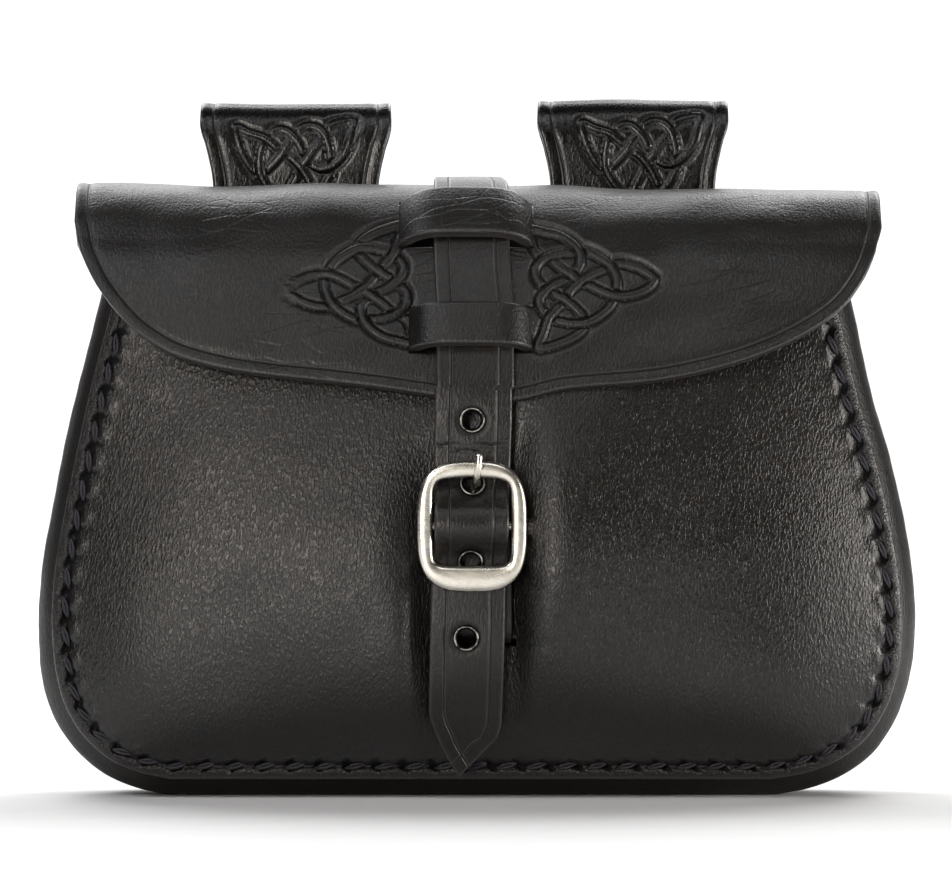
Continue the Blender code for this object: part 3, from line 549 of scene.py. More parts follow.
def loose(x, z):
    """How far the front panel would stand out from its seam without the strap."""
    inside = inward(x, z, BOTTOM_FASTER)
    run = RUN_LEFT + (RUN_RIGHT - RUN_LEFT) * np.clip(x / RUN_CHANGE + 0.5, 0, 1)
    most = read(FRONT_SWELL, 1, z)
    crest = CREST_OUT * hump(x - CREST_MIDDLE - CREST_LEAN * (z - CREST_HEIGHT), CREST_WIDE)
    crest *= (1 - np.exp(-inside / CREST_RUN)) * most / FRONT_SWELL[0][1]
    return most * (1 - np.exp(-inside / run)) + crest


def swell(x, z):
    """How far the front panel stands out from its seam at a place."""
    x, z = np.asarray(x, float), np.asarray(z, float)
    free = loose(x, z)
    under_strap = np.exp(-(((x - TROUGH_CENTRE) / TROUGH_WIDE) ** TROUGH_STEEP))
    return free + (np.minimum(read(FRONT_HELD, 1, z), free) - free) * under_strap


def rim_line(top, spacing):
    """The cut edge from the top left, round the bottom, to the top right, at an even spacing."""
    heights = np.linspace(top, PANEL_FOOT, 400)
    left = np.stack([read(PANEL_SIDES, 1, heights), heights], -1)
    right = np.stack([read(PANEL_SIDES, 2, heights[::-1]), heights[::-1]], -1)
    across = np.linspace(left[-1, 0], right[0, 0], 200)[1:-1]
    way = np.vstack([left, np.stack([across, 0 * across + PANEL_FOOT], -1), right])
    lengths = lengths_along(way)
    even = np.linspace(0, lengths[-1], int(lengths[-1] / spacing))
    line = np.stack([np.interp(even, lengths, way[:, n]) for n in (0, 1)], -1)
    along = unit(np.gradient(line, axis=0))
    window = np.ones(13) / 13  # the corners' direction is averaged over this many points
    padded = np.pad(along, ((6, 6), (0, 0)), "edge")
    smooth = unit(np.stack([np.convolve(padded[:, n], window, "valid") for n in (0, 1)], -1))
    return even, line, np.stack([smooth[:, 1], -smooth[:, 0]], -1)  # the normal points outwards


rim_length = rim_line(FRONT_TOP, 1.0)[0][-1]
print("seam length", round(rim_length, 1), "mm")

# %% [markdown]
# Thick waxed thread is sewn through slanting awl holes, seven and a half millimetres apart. The
# leather sinks along the seam, opens into a slanting notch at each hole, and stands up in small
# puckers between them on the side of the belly. The notches and the seam's groove are painted
# black, a painted shade.

# %% How the seam dents the leather
STITCHES = round(rim_length / 7.65)
STITCH = rim_length / STITCHES
SEAM_AT = 3.5  # from the cut edge
NOTCH_LONG, NOTCH_WIDE, NOTCH_DEEP, GROOVE_DEEP = 1.85, 0.72, 1.5, 0.6
BELLY_WAVES, BELLY_DIMPLES = 0.38, 0.06


def seam_dent(run, edge):
    """Depth of the leather below its own face near the stitches, and how much shade is painted
    there.
    """
    at = (run / STITCH) % 1.0 * STITCH
    at = np.where(at > STITCH / 2, at - STITCH, at)
    off = edge - SEAM_AT
    along, cross = (at - off) / math.sqrt(2), (at + off) / math.sqrt(2)  # slanting, at 45 degrees
    notch = np.exp(-((along / NOTCH_LONG) ** 4) - (cross / NOTCH_WIDE) ** 2)
    groove = hump(off, 0.9)
    middle = 0.5 - 0.5 * np.cos(math.tau * at / STITCH)
    pucker = hump(off - 2.1, 1.2) * middle * 0.40 + hump(off + 1.7, 0.8) * middle * 0.25
    depth = NOTCH_DEEP * notch + GROOVE_DEEP * groove - pucker
    # notch and groove: painted shade in the awl holes and along the seam's groove.
    return np.array([depth, np.clip(notch * 1.6 + groove * 0.5, 0, 1)])


def belly(x, z):
    """The soft unevenness of the filled front."""
    return BELLY_WAVES * ripple(x, z, 4, 46.0) + BELLY_DIMPLES * ripple(x, z, 9, 17.0)


# %% The front panel's mesh
NEAR_RINGS = [0, 0.1, 0.25, 0.45, 0.75, 1.1, 1.5, 1.9, 2.25, 2.6, 2.9, 3.2, 3.5, 3.8, 4.1, 4.4, 4.8]
NEAR_RINGS += [5.2, 5.7, 6.3, 7.0, 8.0, 9.3, 11.0, 13.2, 16.0, 19.5, 23.0]
FAR_RINGS, FRONT_SPACING = 16, 0.36
SPOKES_TO = np.array([-2.0, 70.0])  # the point behind the buckle
RIM_PRESSED = 0.9  # the sewn rim is squeezed back by this at its cut edge


def panel_rings(top, spacing, near, far):
    """Rings of points inside the outline: place, distance from the edge, run along the seam."""
    run, line, out = rim_line(top, spacing)
    across = np.linspace(line[-1, 0], line[0, 0], int(abs(line[0, 0]) * 2 / 3))[1:-1]
    top_line = np.stack([across, np.full(len(across), top)], -1)
    line = np.vstack([line, top_line, line[:1]])
    out = np.vstack([out, np.tile([0.0, 1.0], (len(across), 1)), out[:1]])
    run = np.concatenate([run, np.full(len(across), -1.0), [0.0]])
    way = SPOKES_TO - line
    reach = np.linalg.norm(way, axis=1, keepdims=True)
    way /= reach
    true_lean = np.clip(-(out * way).sum(1, keepdims=True), 0.45, 1.0)
    lean, seam = true_lean.copy(), int((run > 0).sum()) + 1
    lean[seam:-1, 0] = np.linspace(lean[seam - 1, 0], lean[-1, 0], len(across) + 2)[1:-1]
    rings, edges = [], []
    for depth in near:
        rings.append(line + way * depth / lean)
        edges.append(depth * (true_lean / lean)[:, 0])
    start = near[-1] / lean
    for part in np.linspace(0, 1, far + 1)[1:]:
        rings.append(line + way * (start + (reach - start) * part))
        edges.append(near[-1] + (reach[:, 0] - near[-1]) * part * lean[:, 0])
    run = np.where(run < 0, run, run / run.max() * rim_length)
    return np.array(rings), np.array(edges), run[None, :]


def sewn_panel(top, spacing, near, far):
    """A panel's x, z, distance from its edge, where it is sewn, its dents and its notches."""
    places, edge, run = panel_rings(top, spacing, near, far)
    dent, notch = seam_dent(run, edge) * (run >= 0)
    return places[..., 0], places[..., 1], edge, run >= 0, dent, notch


x, z, edge, sewn, dent, notch = sewn_panel(FRONT_TOP, FRONT_SPACING, NEAR_RINGS, FAR_RINGS)
front = front_seam_y(z) - swell(x, z) - belly(x, z) * ease(3.0, 20.0, inward(x, z))
front += dent + rounded_off(edge) + RIM_PRESSED * (1 - ease(0, 3.0, edge)) * sewn
face = np.stack([x, front, z], -1)
marks = {
    # press: painted shade in the notches; the cut edge's lighter line is a painted highlight,
    # partly abrasion.
    "press": notch, "wear": 0.3 * hump(edge - 0.35, 0.45) * sewn,
    "pucker": hump(edge - 1.9, 1.0) * (1 - notch) * sewn,
}
kept_rings = every(5, len(NEAR_RINGS)) + every(2, len(face), len(NEAR_RINGS) + 1)
front_panel = wall(
    "front_leather", face, np.broadcast_to([0.0, -1.0, 0.0], face.shape), PANEL_T, marks,
    rows=kept_rings, columns=every(12, face.shape[1]), ring=True,
)

# %% [markdown]
# The doubled strip that holds the buckle enters the bag through a slit behind the strap. Only the
# slit's right end shows. A Boolean could cut it, but on a fine mesh like this it is slow and can
# fail; four planes that bisect both skins, a few faces deleted and a bridge round the hole are as
# good and always work.

# %% The slit behind the strap
def open_slit(piece, left, right, low, high):
    """Open a slot through both skins of a wall that faces the front (millimetres)."""
    bm = bmesh.new()
    bm.from_mesh(piece.data)

    def within(place, beside, above):
        """Whether a place is in the slot, or no further from it than given."""
        across, up = place.x / MM, place.z / MM
        return left - beside < across < right + beside and low - above < up < high + above

    half = (right - left) / 2
    for at, way in ((left, (1, 0, 0)), (right, (1, 0, 0)), (low, (0, 0, 1)), (high, (0, 0, 1))):
        near = [
            f for f in bm.faces
            if any(within(v.co, 1, 1) for v in f.verts) or within(f.calc_center_median(), half, 9)
        ]
        geom = list({item for f in near for item in (f, *f.edges, *f.verts)})
        spot = Vector(way) * at * MM
        bmesh.ops.bisect_plane(bm, geom=geom, dist=1e-7, plane_co=spot, plane_no=way)
    inside = [f for f in bm.faces if within(f.calc_center_median(), 0, 0)]
    bmesh.ops.delete(bm, geom=inside, context="FACES")
    bmesh.ops.bridge_loops(bm, edges=[e for e in bm.edges if e.is_boundary])
    bmesh.ops.recalc_face_normals(bm, faces=bm.faces)
    open_edges = sum(e.is_boundary for e in bm.edges)
    print(piece.name, "slit:", len(inside), "faces out,", open_edges, "open edges")
    bm.to_mesh(piece.data)
    bm.free()


SLIT_SPAN = -12.4, 9.4, 38.8, 40.4  # left, right, low, high
open_slit(front_panel, *SLIT_SPAN)
body_hide = leather("body_leather", grain=1.1, rough=0.33)
finish_off(front_panel, body_hide, "body_leather", "front_panel")
print("front panel:", len(front_panel.data.polygons), "faces")

# %% [markdown]
# ## The back panel and the gusset
# The back lies flat against the wearer, with the same outline and the same seam. The gusset is one
# long strip that goes down one side, along the bottom and up the other. It is sewn between the
# panels by its two flanges and folds outwards between them, so its section is drawn once and swept
# along the rim, a little uneven as soft leather is, and flat where it rests on the floor.

# %% The back panel
BACK_SPACING, BACK_RINGS, BACK_DENTS = 0.6, 9, 0.8  # it lies flatter, with shallower dents
x, z, edge, _, dent, notch = sewn_panel(BACK_TOP, BACK_SPACING, NEAR_RINGS[::2], BACK_RINGS)
face = np.stack([x, BACK_FACE - rounded_off(edge) - np.maximum(dent, 0) * BACK_DENTS, z], -1)
# The notches are painted black here too, a painted shade.
back_panel = wall(
    "back_leather", face, np.broadcast_to([0.0, 1.0, 0.0], face.shape), PANEL_T, {"press": notch},
    rows=every(3, len(face)), columns=every(8, face.shape[1]), ring=True,
)
finish_off(back_panel, body_hide, "body_leather", "back_panel")

# %% The gusset
GUSSET_FOLDS = [  # depth from the front seam to the back seam, and how far it stands out
    (0.0, 0.0), (0.0, -3.4), (0.045, -4.4), (0.13, -1.8), (0.28, 2.7), (0.5, 4.9), (0.72, 2.7),
    (0.87, -1.8), (0.955, -4.4), (1.0, -3.4), (1.0, 0.0),
]
GUSSET_DEEP, GUSSET_STAND, REST_SPREAD, GUSSET_TOP = 37.0, 4.9, 0.8, 134.0
run, line, out = rim_line(GUSSET_TOP, 1.1)
section = through([(share * GUSSET_DEEP, stand) for share, stand in GUSSET_FOLDS], 7)
share, stand = np.clip(section[:, 0], 0, GUSSET_DEEP) / GUSSET_DEEP, section[:, 1]
squarer = 1 + REST_SPREAD * np.maximum(-out[:, 1:], 0)
stand = np.minimum(np.where(stand > 0, stand * squarer, stand), GUSSET_STAND)
front = front_seam_y(line[:, 1:]) + PANEL_T + GAP + GUSSET_T
depth = front + (BACK_FACE - PANEL_T - GAP - GUSSET_T - front) * share
soft = ripple(run[:, None], depth, 21, 34.0) * 0.16 + ripple(run[:, None], depth, 5, 9.0) * 0.05
off_floor = 1 - ease(0.55, 0.95, -out[:, 1:])
stand = stand + (soft - 0.25) * hump(share - 0.5, 0.33) * off_floor
height = np.maximum(line[:, 1:] + out[:, 1:] * stand, 0.0)
face = np.stack([line[:, :1] + out[:, :1] * stand, depth, height], -1)
gusset = wall(
    "gusset_leather", face, -grid_normals(face), GUSSET_T, {},
    rows=every(4, len(face)), columns=every(4, face.shape[1]),
)
finish_off(gusset, leather("gusset_hide", grain=0.8, rough=0.42), "body_leather", "gusset")

# %% [markdown]
# ## Stitches
# Each stitch is a short length of doubled thread that leaves one notch and dives into the next. Its
# two strands bow apart in the middle, like a lens. One stitch is modelled as two bent, tapered
# rods and copied along both seams; a curve with a thousand points would be heavier.

# %% One stitch, copied along a seam
STITCH_LONG, THREAD_R, THREAD_BOW, THREAD_HEIGHT = 6.0, 0.46, 0.42, 0.92
STRAND_STEPS, STRAND_SIDES = 10, 8
STITCH_SLANT, LAST_STITCH_Z, THREAD_LIFT = 0.26, 130.0, 0.05


def strand_shape(bow):
    """Points and faces of one strand along X, standing on Z, with its ends buried."""
    points, faces, sides = [], [], STRAND_SIDES
    for n in range(STRAND_STEPS + 1):
        t = n / STRAND_STEPS
        arch = math.sin(math.pi * t)
        radius = THREAD_R * math.sin(math.pi * min(max(t, 0.07), 0.93)) ** 0.35
        lift, aside = THREAD_HEIGHT * (arch**0.55 - 0.8), bow * arch
        for turn in np.arange(sides) * math.tau / sides:
            across, up = aside + math.cos(turn) * radius, lift + math.sin(turn) * radius
            points.append(((t - 0.5) * STITCH_LONG, across, up))
    for first in range(0, STRAND_STEPS * sides, sides):
        for m in range(sides):
            a, b = first + m, first + (m + 1) % sides
            faces.append((a, b, b + sides, a + sides))
    faces.append(range(sides)[::-1])
    faces.append(range(STRAND_STEPS * sides, (STRAND_STEPS + 1) * sides))
    return np.array(points), faces


def sew(name, seats):
    """Stitches at seats: rows of (place, along, outward)."""
    one, faces_of_one = strand_shape(THREAD_BOW)
    shape = np.vstack([one, strand_shape(-THREAD_BOW)[0]])
    pair = faces_of_one + [[v + len(one) for v in f] for f in faces_of_one]
    points, faces = [], []
    for place, along, out in seats:
        along, out = unit(along), unit(out)
        faces += [[v + len(points) * len(shape) for v in f] for f in pair]
        points.append(np.array(place) + shape @ np.stack([along, np.cross(out, along), out]))
    mesh = mesh_of(name, np.vstack(points), faces, {})
    mesh.shade_smooth()
    print(f"{name}: {len(seats)} stitches, {len(faces) * 2} triangles")
    finish_off(put(name, mesh), THREAD.material, "body_leather")


def seam_seats(y_at, outward):
    """Seats of the rim's stitches, each from one notch to the next."""
    run, line, out = rim_line(FRONT_TOP, 0.5)
    seats = []
    for middle in (np.arange(STITCHES) + 0.5) * STITCH:
        at, away = ([np.interp(middle, run, v[:, c]) for c in (0, 1)] for v in (line, out))
        away = unit(away)
        x, z = at - away * SEAM_AT
        along = np.array([-away[1], away[0]]) + away * STITCH_SLANT * outward
        if z < LAST_STITCH_Z:
            seats.append(((x, y_at(z), z), (along[0], 0, along[1]), (0, outward, 0)))
    return seats


THREAD = Finish("waxed_thread", Specular_IOR_Level=0.5)
turned = THREAD.stretched((1, 1, 1), (0.5, 0.6, 0.7))
twist = THREAD.value("ShaderNodeTexWave", "Fac", Vector=turned, Scale=900.0, Distortion=2.0)
THREAD.set("Base Color", THREAD.mix(twist, (0.004, 0.004, 0.007, 1), (0.016, 0.014, 0.022, 1)))
THREAD.set("Roughness", 0.40 + twist * 0.15)
THREAD.bump(twist * 0.06)
sew("front_stitches", seam_seats(lambda z: front_seam_y(z) - THREAD_LIFT, -1))
sew("back_stitches", seam_seats(lambda z: BACK_FACE + THREAD_LIFT, 1))

# %% [markdown]
# ## The pressed knots
# A stamp presses a three-pointed knot into the damp leather: one closed strand that passes over
# and under itself ten times. An image could give it, but a pattern that is part of the surface
# catches light from every side. The strand's middle line is a table of points; each point of the
# leather finds its distance from the line, and sinks or rises by it. Where two strands cross, the
# one on top hides the other.

# %% The knot as a height over the leather
KNOT = [  # across, up, and 1 where the strand passes over, -1 where it passes under
    (-11.1, 14.6, 0), (-7.3, 14.1, 0), (-3.5, 13.1, 0), (-0.5, 11.1, 0), (1.5, 8.6, 1),
    (1.8, 5.5, 0), (0, 3, -1), (-2.3, 1.5, 0), (-4.8, 0.3, 0), (-6.5, -1, 1), (-8.3, -3, 0),
    (-8.6, -5, 0), (-7.6, -6.8, 0), (-6.3, -8.1, -1), (-4, -9.1, 0), (-0.5, -9.8, 0),
    (3, -9.6, 1), (6.5, -7.8, 0), (9.1, -5.5, 0), (10.3, -3.3, -1), (11.1, 0, 0),
    (10.6, 2.5, 0), (9.1, 5, 1), (6.5, 7.1, 0), (3.5, 8.6, 0), (1.5, 8.6, -1), (-1.5, 8.6, 0),
    (-4.5, 8.1, 0), (-7.6, 6.8, 1), (-9.3, 4.8, 0), (-9.6, 2.5, 0), (-8.3, 0.3, 0),
    (-6.5, -1, -1), (-4.5, -2.5, 0), (-2, -4, 1), (0.8, -6.3, 0), (3, -9.1, -1),
    (2.3, -11.3, 0), (-0.5, -13.4, 0), (-4.5, -15.1, 0), (-9.1, -15.9, 0), (-7.8, -12.8, 0),
    (-6.3, -8.6, 1), (-4.5, -6.3, 0), (-2, -3.8, -1), (-0.8, -1.5, 0), (1.5, 0.8, 1),
    (4, 2.5, 0), (7.1, 4, 0), (9.3, 5, -1), (11.6, 5.5, 0), (14.9, 5, 0), (18.1, 3.5, 0),
    (20.4, 1.5, 0), (18.6, -0.8, 0), (15.1, -2.3, 0), (10.6, -2.8, 1), (7.3, -1.8, 0),
    (4.5, -0.3, 0), (1.8, 0.8, -1), (-0.5, 2.5, 1), (-3.5, 4.5, 0), (-5.8, 6.5, 0),
    (-7.3, 7.1, -1), (-9.6, 8.8, 0), (-10.6, 11.1, 0),
]
STRAND = 1.12  # half the strand's width
STRAND_HEIGHT, STRAND_OVER, GROUND, GROOVE = 0.50, 0.16, -0.42, 0.42
KNOT_STEPS, MAP_STEP, MAP_REACH = 9, 0.4, 24.0
SAME_STRAND = 3.2  # two places less than this apart along the strand aren't a crossing


def by_parts(measure, u, v, size=4000):
    """Measure many flat places a few thousand at a time, so that the memory stays small."""
    parts = [slice(first, first + size) for first in range(0, len(u), size)]
    return np.concatenate([measure(u[part, None], v[part, None]) for part in parts], -1)


class Knot:
    """The strand's middle line, its level at each crossing, and a map of what lies outside it."""

    def __init__(self):
        table = np.array(KNOT, float)
        closed = np.vstack([table[-2:], table, table[:3]])
        self.line = through(closed[:, :2], KNOT_STEPS)[2 * KNOT_STEPS : -2 * KNOT_STEPS - 1]
        count = len(self.line)
        self.run = lengths_along(self.line)
        self.length = self.run[-1] + np.linalg.norm(self.line[0] - self.line[-1])
        passes = np.nonzero(table[:, 2])[0]
        where = np.concatenate([passes - len(table), passes, passes + len(table)]) * KNOT_STEPS
        self.level = np.interp(np.arange(count), where, np.tile(table[passes, 2], 3))
        self.outside_map()

    def outside_map(self):
        """A small map of what lies outside the whole knot, filled in from its border."""
        ticks = np.arange(-MAP_REACH, MAP_REACH, MAP_STEP)
        u, v = np.meshgrid(ticks, ticks)
        free = self.nearest(u.ravel(), v.ravel(), self.line)[0].reshape(u.shape) > STRAND
        filled = np.pad(np.zeros_like(free[1:-1, 1:-1]), 1, constant_values=True)
        for _ in range(4 * len(ticks)):
            grown = filled.copy()
            grown[1:] |= filled[:-1]
            grown[:-1] |= filled[1:]
            grown[:, 1:] |= filled[:, :-1]
            grown[:, :-1] |= filled[:, 1:]
            grown &= free
            if (grown == filled).all():
                break
            filled = grown
        self.free = filled

    @staticmethod
    def nearest(u, v, line):
        """Distance from flat places to the nearest point of a line, and which point that is."""

        def measure(u, v):
            away = np.hypot(u - line[:, 0], v - line[:, 1])
            return np.array([away.min(1), away.argmin(1)])

        distance, which = by_parts(measure, u, v)
        return distance, which.astype(int)

    def press(self, u, v):
        """Height, painted groove shade and a painted highlight on the ring round the knot, at flat
        places measured from the knot's centre.
        """
        over, under = np.nonzero(self.level > 0)[0], np.nonzero(self.level <= 0)[0]
        d_over, n_over = self.nearest(u, v, self.line[over])
        d_under, n_under = self.nearest(u, v, self.line[under])
        n_over, n_under = over[n_over], under[n_under]
        gap = np.abs(self.run[n_over] - self.run[n_under])
        crossing = np.minimum(gap, self.length - gap) >= SAME_STRAND
        use_over = (crossing & (d_over < STRAND + 0.45)) | (d_over <= d_under)
        distance = np.where(use_over, d_over, d_under)
        level = np.where(use_over, self.level[n_over], self.level[n_under])
        i, j = (((at + MAP_REACH) / MAP_STEP).round().astype(int) for at in (v, u))
        outside = self.free[np.clip(i, 0, len(self.free) - 1), np.clip(j, 0, len(self.free) - 1)]
        ground = GROUND * (1 - outside * ease(STRAND + 0.35, STRAND + 1.5, distance))
        dome = np.sqrt(np.clip(1 - (distance / STRAND) ** 2, 0, 1))
        groove = hump(distance - STRAND - 0.14, 0.26)
        height = ground + (STRAND_HEIGHT + STRAND_OVER * level) * dome - GROOVE * groove
        return height, groove, hump(distance - STRAND - 1.05, 0.4) * outside


knot = Knot()


def press_knot(across, up, centre, turn):
    """The knot's height, painted groove shade and painted rim highlight over a whole grid, zero
    away from it.
    """
    c, s = math.cos(turn), math.sin(turn)
    u, v = (across - centre[0]).ravel(), (up - centre[1]).ravel()
    u, v = u * c + v * s, -u * s + v * c
    near = (u > -14) & (u < 24) & (np.abs(v) < 19.5)
    result = np.zeros((3, u.size))
    result[:, near] = knot.press(u[near], v[near])
    return result.reshape(3, *across.shape)


print("knot strand", round(float(knot.length), 1), "mm long")

# %% [markdown]
# ## The flap
# One wide piece: a tab behind the body, the fold over the mouth, and the front with its curved
# lip. Two keepers are cut in it and lifted over the strap. Rows follow the leather's own length,
# and columns run from edge to edge, so that lifting the rows between two slits makes a keeper, and
# the pressed line keeps its distance from the lip.

# %% The flap's line and lip
FLAP_T, TAB_Y = 2.0, 23.3
FLAP_BENDS = [  # depth and height of the outer face, from the end of the tab to the lip
    (TAB_Y, 116), (TAB_Y, 125), (TAB_Y, 133.6), (22.2, 141.8), (18.4, 149.4), (12, 154.3),
    (3, 155.6), (-7.5, 153.2), (-15.5, 147.3), (-21.5, 138.5), (-25.8, 128), (-29.6, 116),
    (-32.4, 106), (-34.2, 97),
]
FLAP_WIDEST_Z, FLAP_SIDE_DROOP, DROOP_LENGTH = 149.0, 5.0, 30.0
CROWN_FALL, LEVEL_Z, CROWN_Z = 0.0095, 110.0, 155.0  # the crown is lower on the right
FLAP_LIP = [
    (-102.8, 145.5), (-100.6, 137), (-95, 127), (-85, 116.8), (-75, 111.4), (-60, 107.8),
    (-30, 104.3), (-10, 101.4), (-1, 99.7), (9, 100.4), (22, 103.3), (43, 105.2), (60, 108.6),
    (75, 113.8), (90.6, 123), (97.5, 131.5), (100.8, 139), (102.6, 145.5),
]
FLAP_START = [(0, 0), (82, 0), (90, 5), (96, 16), (100, 30), (102.6, 43), (104, 52)]
KEEPERS = [(150.4, 139.6, -20.2, 13.8), (124.0, 112.6, -17.6, 13.8)]  # top, bottom, left, right
SLIT, KEEPER_RISE, KEEPER_FULL, KEEPER_ROUND, STRAP_MIDDLE = 0.45, 6.2, 4.0, 0.92, -1.8
RIGHT_KNOT, LEFT_KNOT = (24.0, 129.7), (-27.6, 129.7)

flap_route = Route(FLAP_BENDS)
crown = flap_route.points[:, 1].argmax()
crown_length = flap_route.lengths[crown]
widest = flap_route.length_at_height(FLAP_WIDEST_Z, crown_length)


def front_length(z):
    return flap_route.length_at_height(z, crown_length)


def keeper_rise(keeper, x):
    """Height of a keeper over the flap at a place across it: an arch, steeper at its ends."""
    _, _, left, right = keeper
    end = np.where(x < STRAP_MIDDLE, left, right)
    out = np.clip((x - STRAP_MIDDLE) / (end - STRAP_MIDDLE), 0, 1)
    return KEEPER_RISE * (1 - out**KEEPER_FULL) ** KEEPER_ROUND


def flap_points(x, length, rise):
    """Places of the flap's face: across it, along its length, and so far off its line."""
    place = flap_route.at(length) + flap_route.outward(length) * rise[..., None]
    front = np.clip((length - crown_length) / DROOP_LENGTH, 0, 1)
    droop = FLAP_SIDE_DROOP * front * np.abs(x / FLAP_LIP[0][0]) ** 3
    fall = CROWN_FALL * x * np.clip((place[..., 1] - LEVEL_Z) / (CROWN_Z - LEVEL_Z), 0, 1)
    return np.stack([x, place[..., 0] + droop, place[..., 1] - fall], -1)


print("flap is", round(flap_route.length, 1), "mm long over the fold")


# %% The flap's grid
def between(low, high, spacing):
    """Even steps between two values, as near the spacing as they can be."""
    return list(np.linspace(low, high, max(int(round((high - low) / spacing)), 1) + 1))


slits = [front_length(z) for keeper in KEEPERS for z in keeper[:2]]
lengths = between(0, slits[0] - 3, 1.5) + between(slits[0] - 3, slits[0], 0.5)
strips = []
for top, bottom, after in ((slits[0], slits[1], slits[2]), (slits[2], slits[3], slits[3] + 1.0)):
    lengths += between(top + SLIT, bottom - SLIT, 0.34) + between(bottom, after, 0.36)
    strips.append((top, top + SLIT, bottom - SLIT, bottom))
lengths = np.array(sorted(set(np.round(lengths, 4))))
left_end, right_end = FLAP_LIP[0][0], FLAP_LIP[-1][0]
columns = []
for inset in (0, 0.15, 0.4, 0.75, 1.2, 1.8, 2.5):
    columns += [left_end + inset, right_end - inset]
for low, high, spacing in (
    (left_end + 3.4, -46, 1.2), (-46, -12, 0.37), (-12, 9, 0.7), (9, 46, 0.37),
    (46, right_end - 3.4, 1.2),
):
    columns += between(low, high, spacing)
columns += [side for keeper in KEEPERS for side in keeper[2:]]
columns = np.array(sorted(set(np.round(columns, 4))))
lip = np.array([front_length(z) for z in read(FLAP_LIP, 1, columns)])
start = read(FLAP_START, 1, np.abs(columns))
# the last rows run from straight to the lip's own line, closer and closer
BELOW = [0.16, 0.31, 0.45, 0.57, 0.68, 0.77, 0.84, 0.90, 0.945, 0.98, 1.0]
squeeze_front = np.minimum(1, 0.88 * (lip - widest) / (lengths[-1] - widest))
squeeze_back = (widest - start) / widest
away = lengths[:, None] - widest
grid = widest + away * np.where(away < 0, squeeze_back, squeeze_front)
grid = np.vstack([grid] + [grid[-1] + (lip - grid[-1]) * part for part in BELOW])
x = np.broadcast_to(columns, grid.shape)
print("flap grid", grid.shape)


# %% Distance of every point from the flap's cut edge
FAR, FLAP_CREASE, FLAP_WAVES, FLAP_DIMPLES = 9.0, 3.0, 0.42, 0.10


def distance_to(line, u, v):
    """Distance from flat points to a line of short straight pieces."""
    way = np.diff(line, axis=0)
    size = np.maximum((way**2).sum(1), 1e-9)

    def measure(u, v):
        u, v = u - line[:-1, 0], v - line[:-1, 1]
        t = np.clip((u * way[:, 0] + v * way[:, 1]) / size, 0, 1)
        return np.hypot(u - way[:, 0] * t, v - way[:, 1] * t).min(1)

    return by_parts(measure, u, v)


def closest(values, at):
    return int(np.abs(values - at).argmin())


tab_line, lip_line = np.stack([columns, start], -1), np.stack([columns, lip], -1)
outline = np.vstack([tab_line, lip_line[::-1], tab_line[:1]])
edge = distance_to(outline, x.ravel(), grid.ravel()).reshape(grid.shape)
rise, any_edge = np.zeros(grid.shape), edge.copy()
missing = np.zeros((len(grid) - 1, len(columns) - 1), bool)
for keeper, strip in zip(KEEPERS, strips):
    tops, lows, highs, bottoms = (closest(lengths, at) for at in strip)
    rise[lows : highs + 1] = keeper_rise(keeper, columns)
    within = (columns[:-1] >= keeper[2] - 1e-4) & (columns[1:] <= keeper[3] + 1e-4)
    missing[tops:lows, within] = missing[highs:bottoms, within] = True
    span = (columns > keeper[2]) & (columns < keeper[3])
    for row in (tops, lows, highs, bottoms):
        side = slice(0, row + 1) if row in (tops, highs) else slice(row, None)
        close = np.where(span, np.abs(grid - grid[row]), FAR)[side]
        any_edge[side] = np.minimum(any_edge[side], close)
base = flap_points(x, grid, rise)
knots = press_knot(base[..., 0], base[..., 2], RIGHT_KNOT, 0.0)
knots += press_knot(base[..., 0], base[..., 2], LEFT_KNOT, math.pi)
height, dark, rim = knots * ((grid > crown_length) & (rise == 0))
normal = grid_normals(base, np.gradient(flap_points(x, grid, 0 * rise), axis=0))
soft = FLAP_WAVES * ripple(x, grid, 31, 44.0) * ease(2, 20, edge)
soft += FLAP_DIMPLES * ripple(x, grid, 12, 13.0)
soft -= 0.28 * hump(edge - FLAP_CREASE, 0.9) * (np.abs(x) > 14)
lift = height + soft * (rise == 0) - rounded_off(any_edge, 0.7)
# A painted highlight on the ring round each knot and along the cut edges, partly abrasion; the
# knots' grooves carry painted shade.
worn_and_lit = (rim + hump(any_edge - 0.3, 0.4)) * 0.35
flap = wall(
    "flap_leather", base + normal * lift[..., None], normal, FLAP_T,
    {"press": np.clip(dark, 0, 1), "wear": np.clip(worn_and_lit, 0, 1), "edge": edge}, missing,
    every(4, len(grid)) + [closest(lengths, at) for strip in strips for at in strip],
    every(4, len(columns)) + [closest(columns, side) for keeper in KEEPERS for side in keeper[2:]],
)
flap_hide = leather("flap_hide", grain=0.75, rough=0.38, crease=FLAP_CREASE, folds=True)
finish_off(flap, flap_hide, "body_leather", "flap")

# %% [markdown]
# ## The strap
# It is sewn behind, comes over the fold, runs under both keepers and down through the buckle to
# its point. Two creases follow its edges and cross at the point. The same wall does it: close rows
# along its length, with the four eyelet holes left out of the grid and their rims made round.

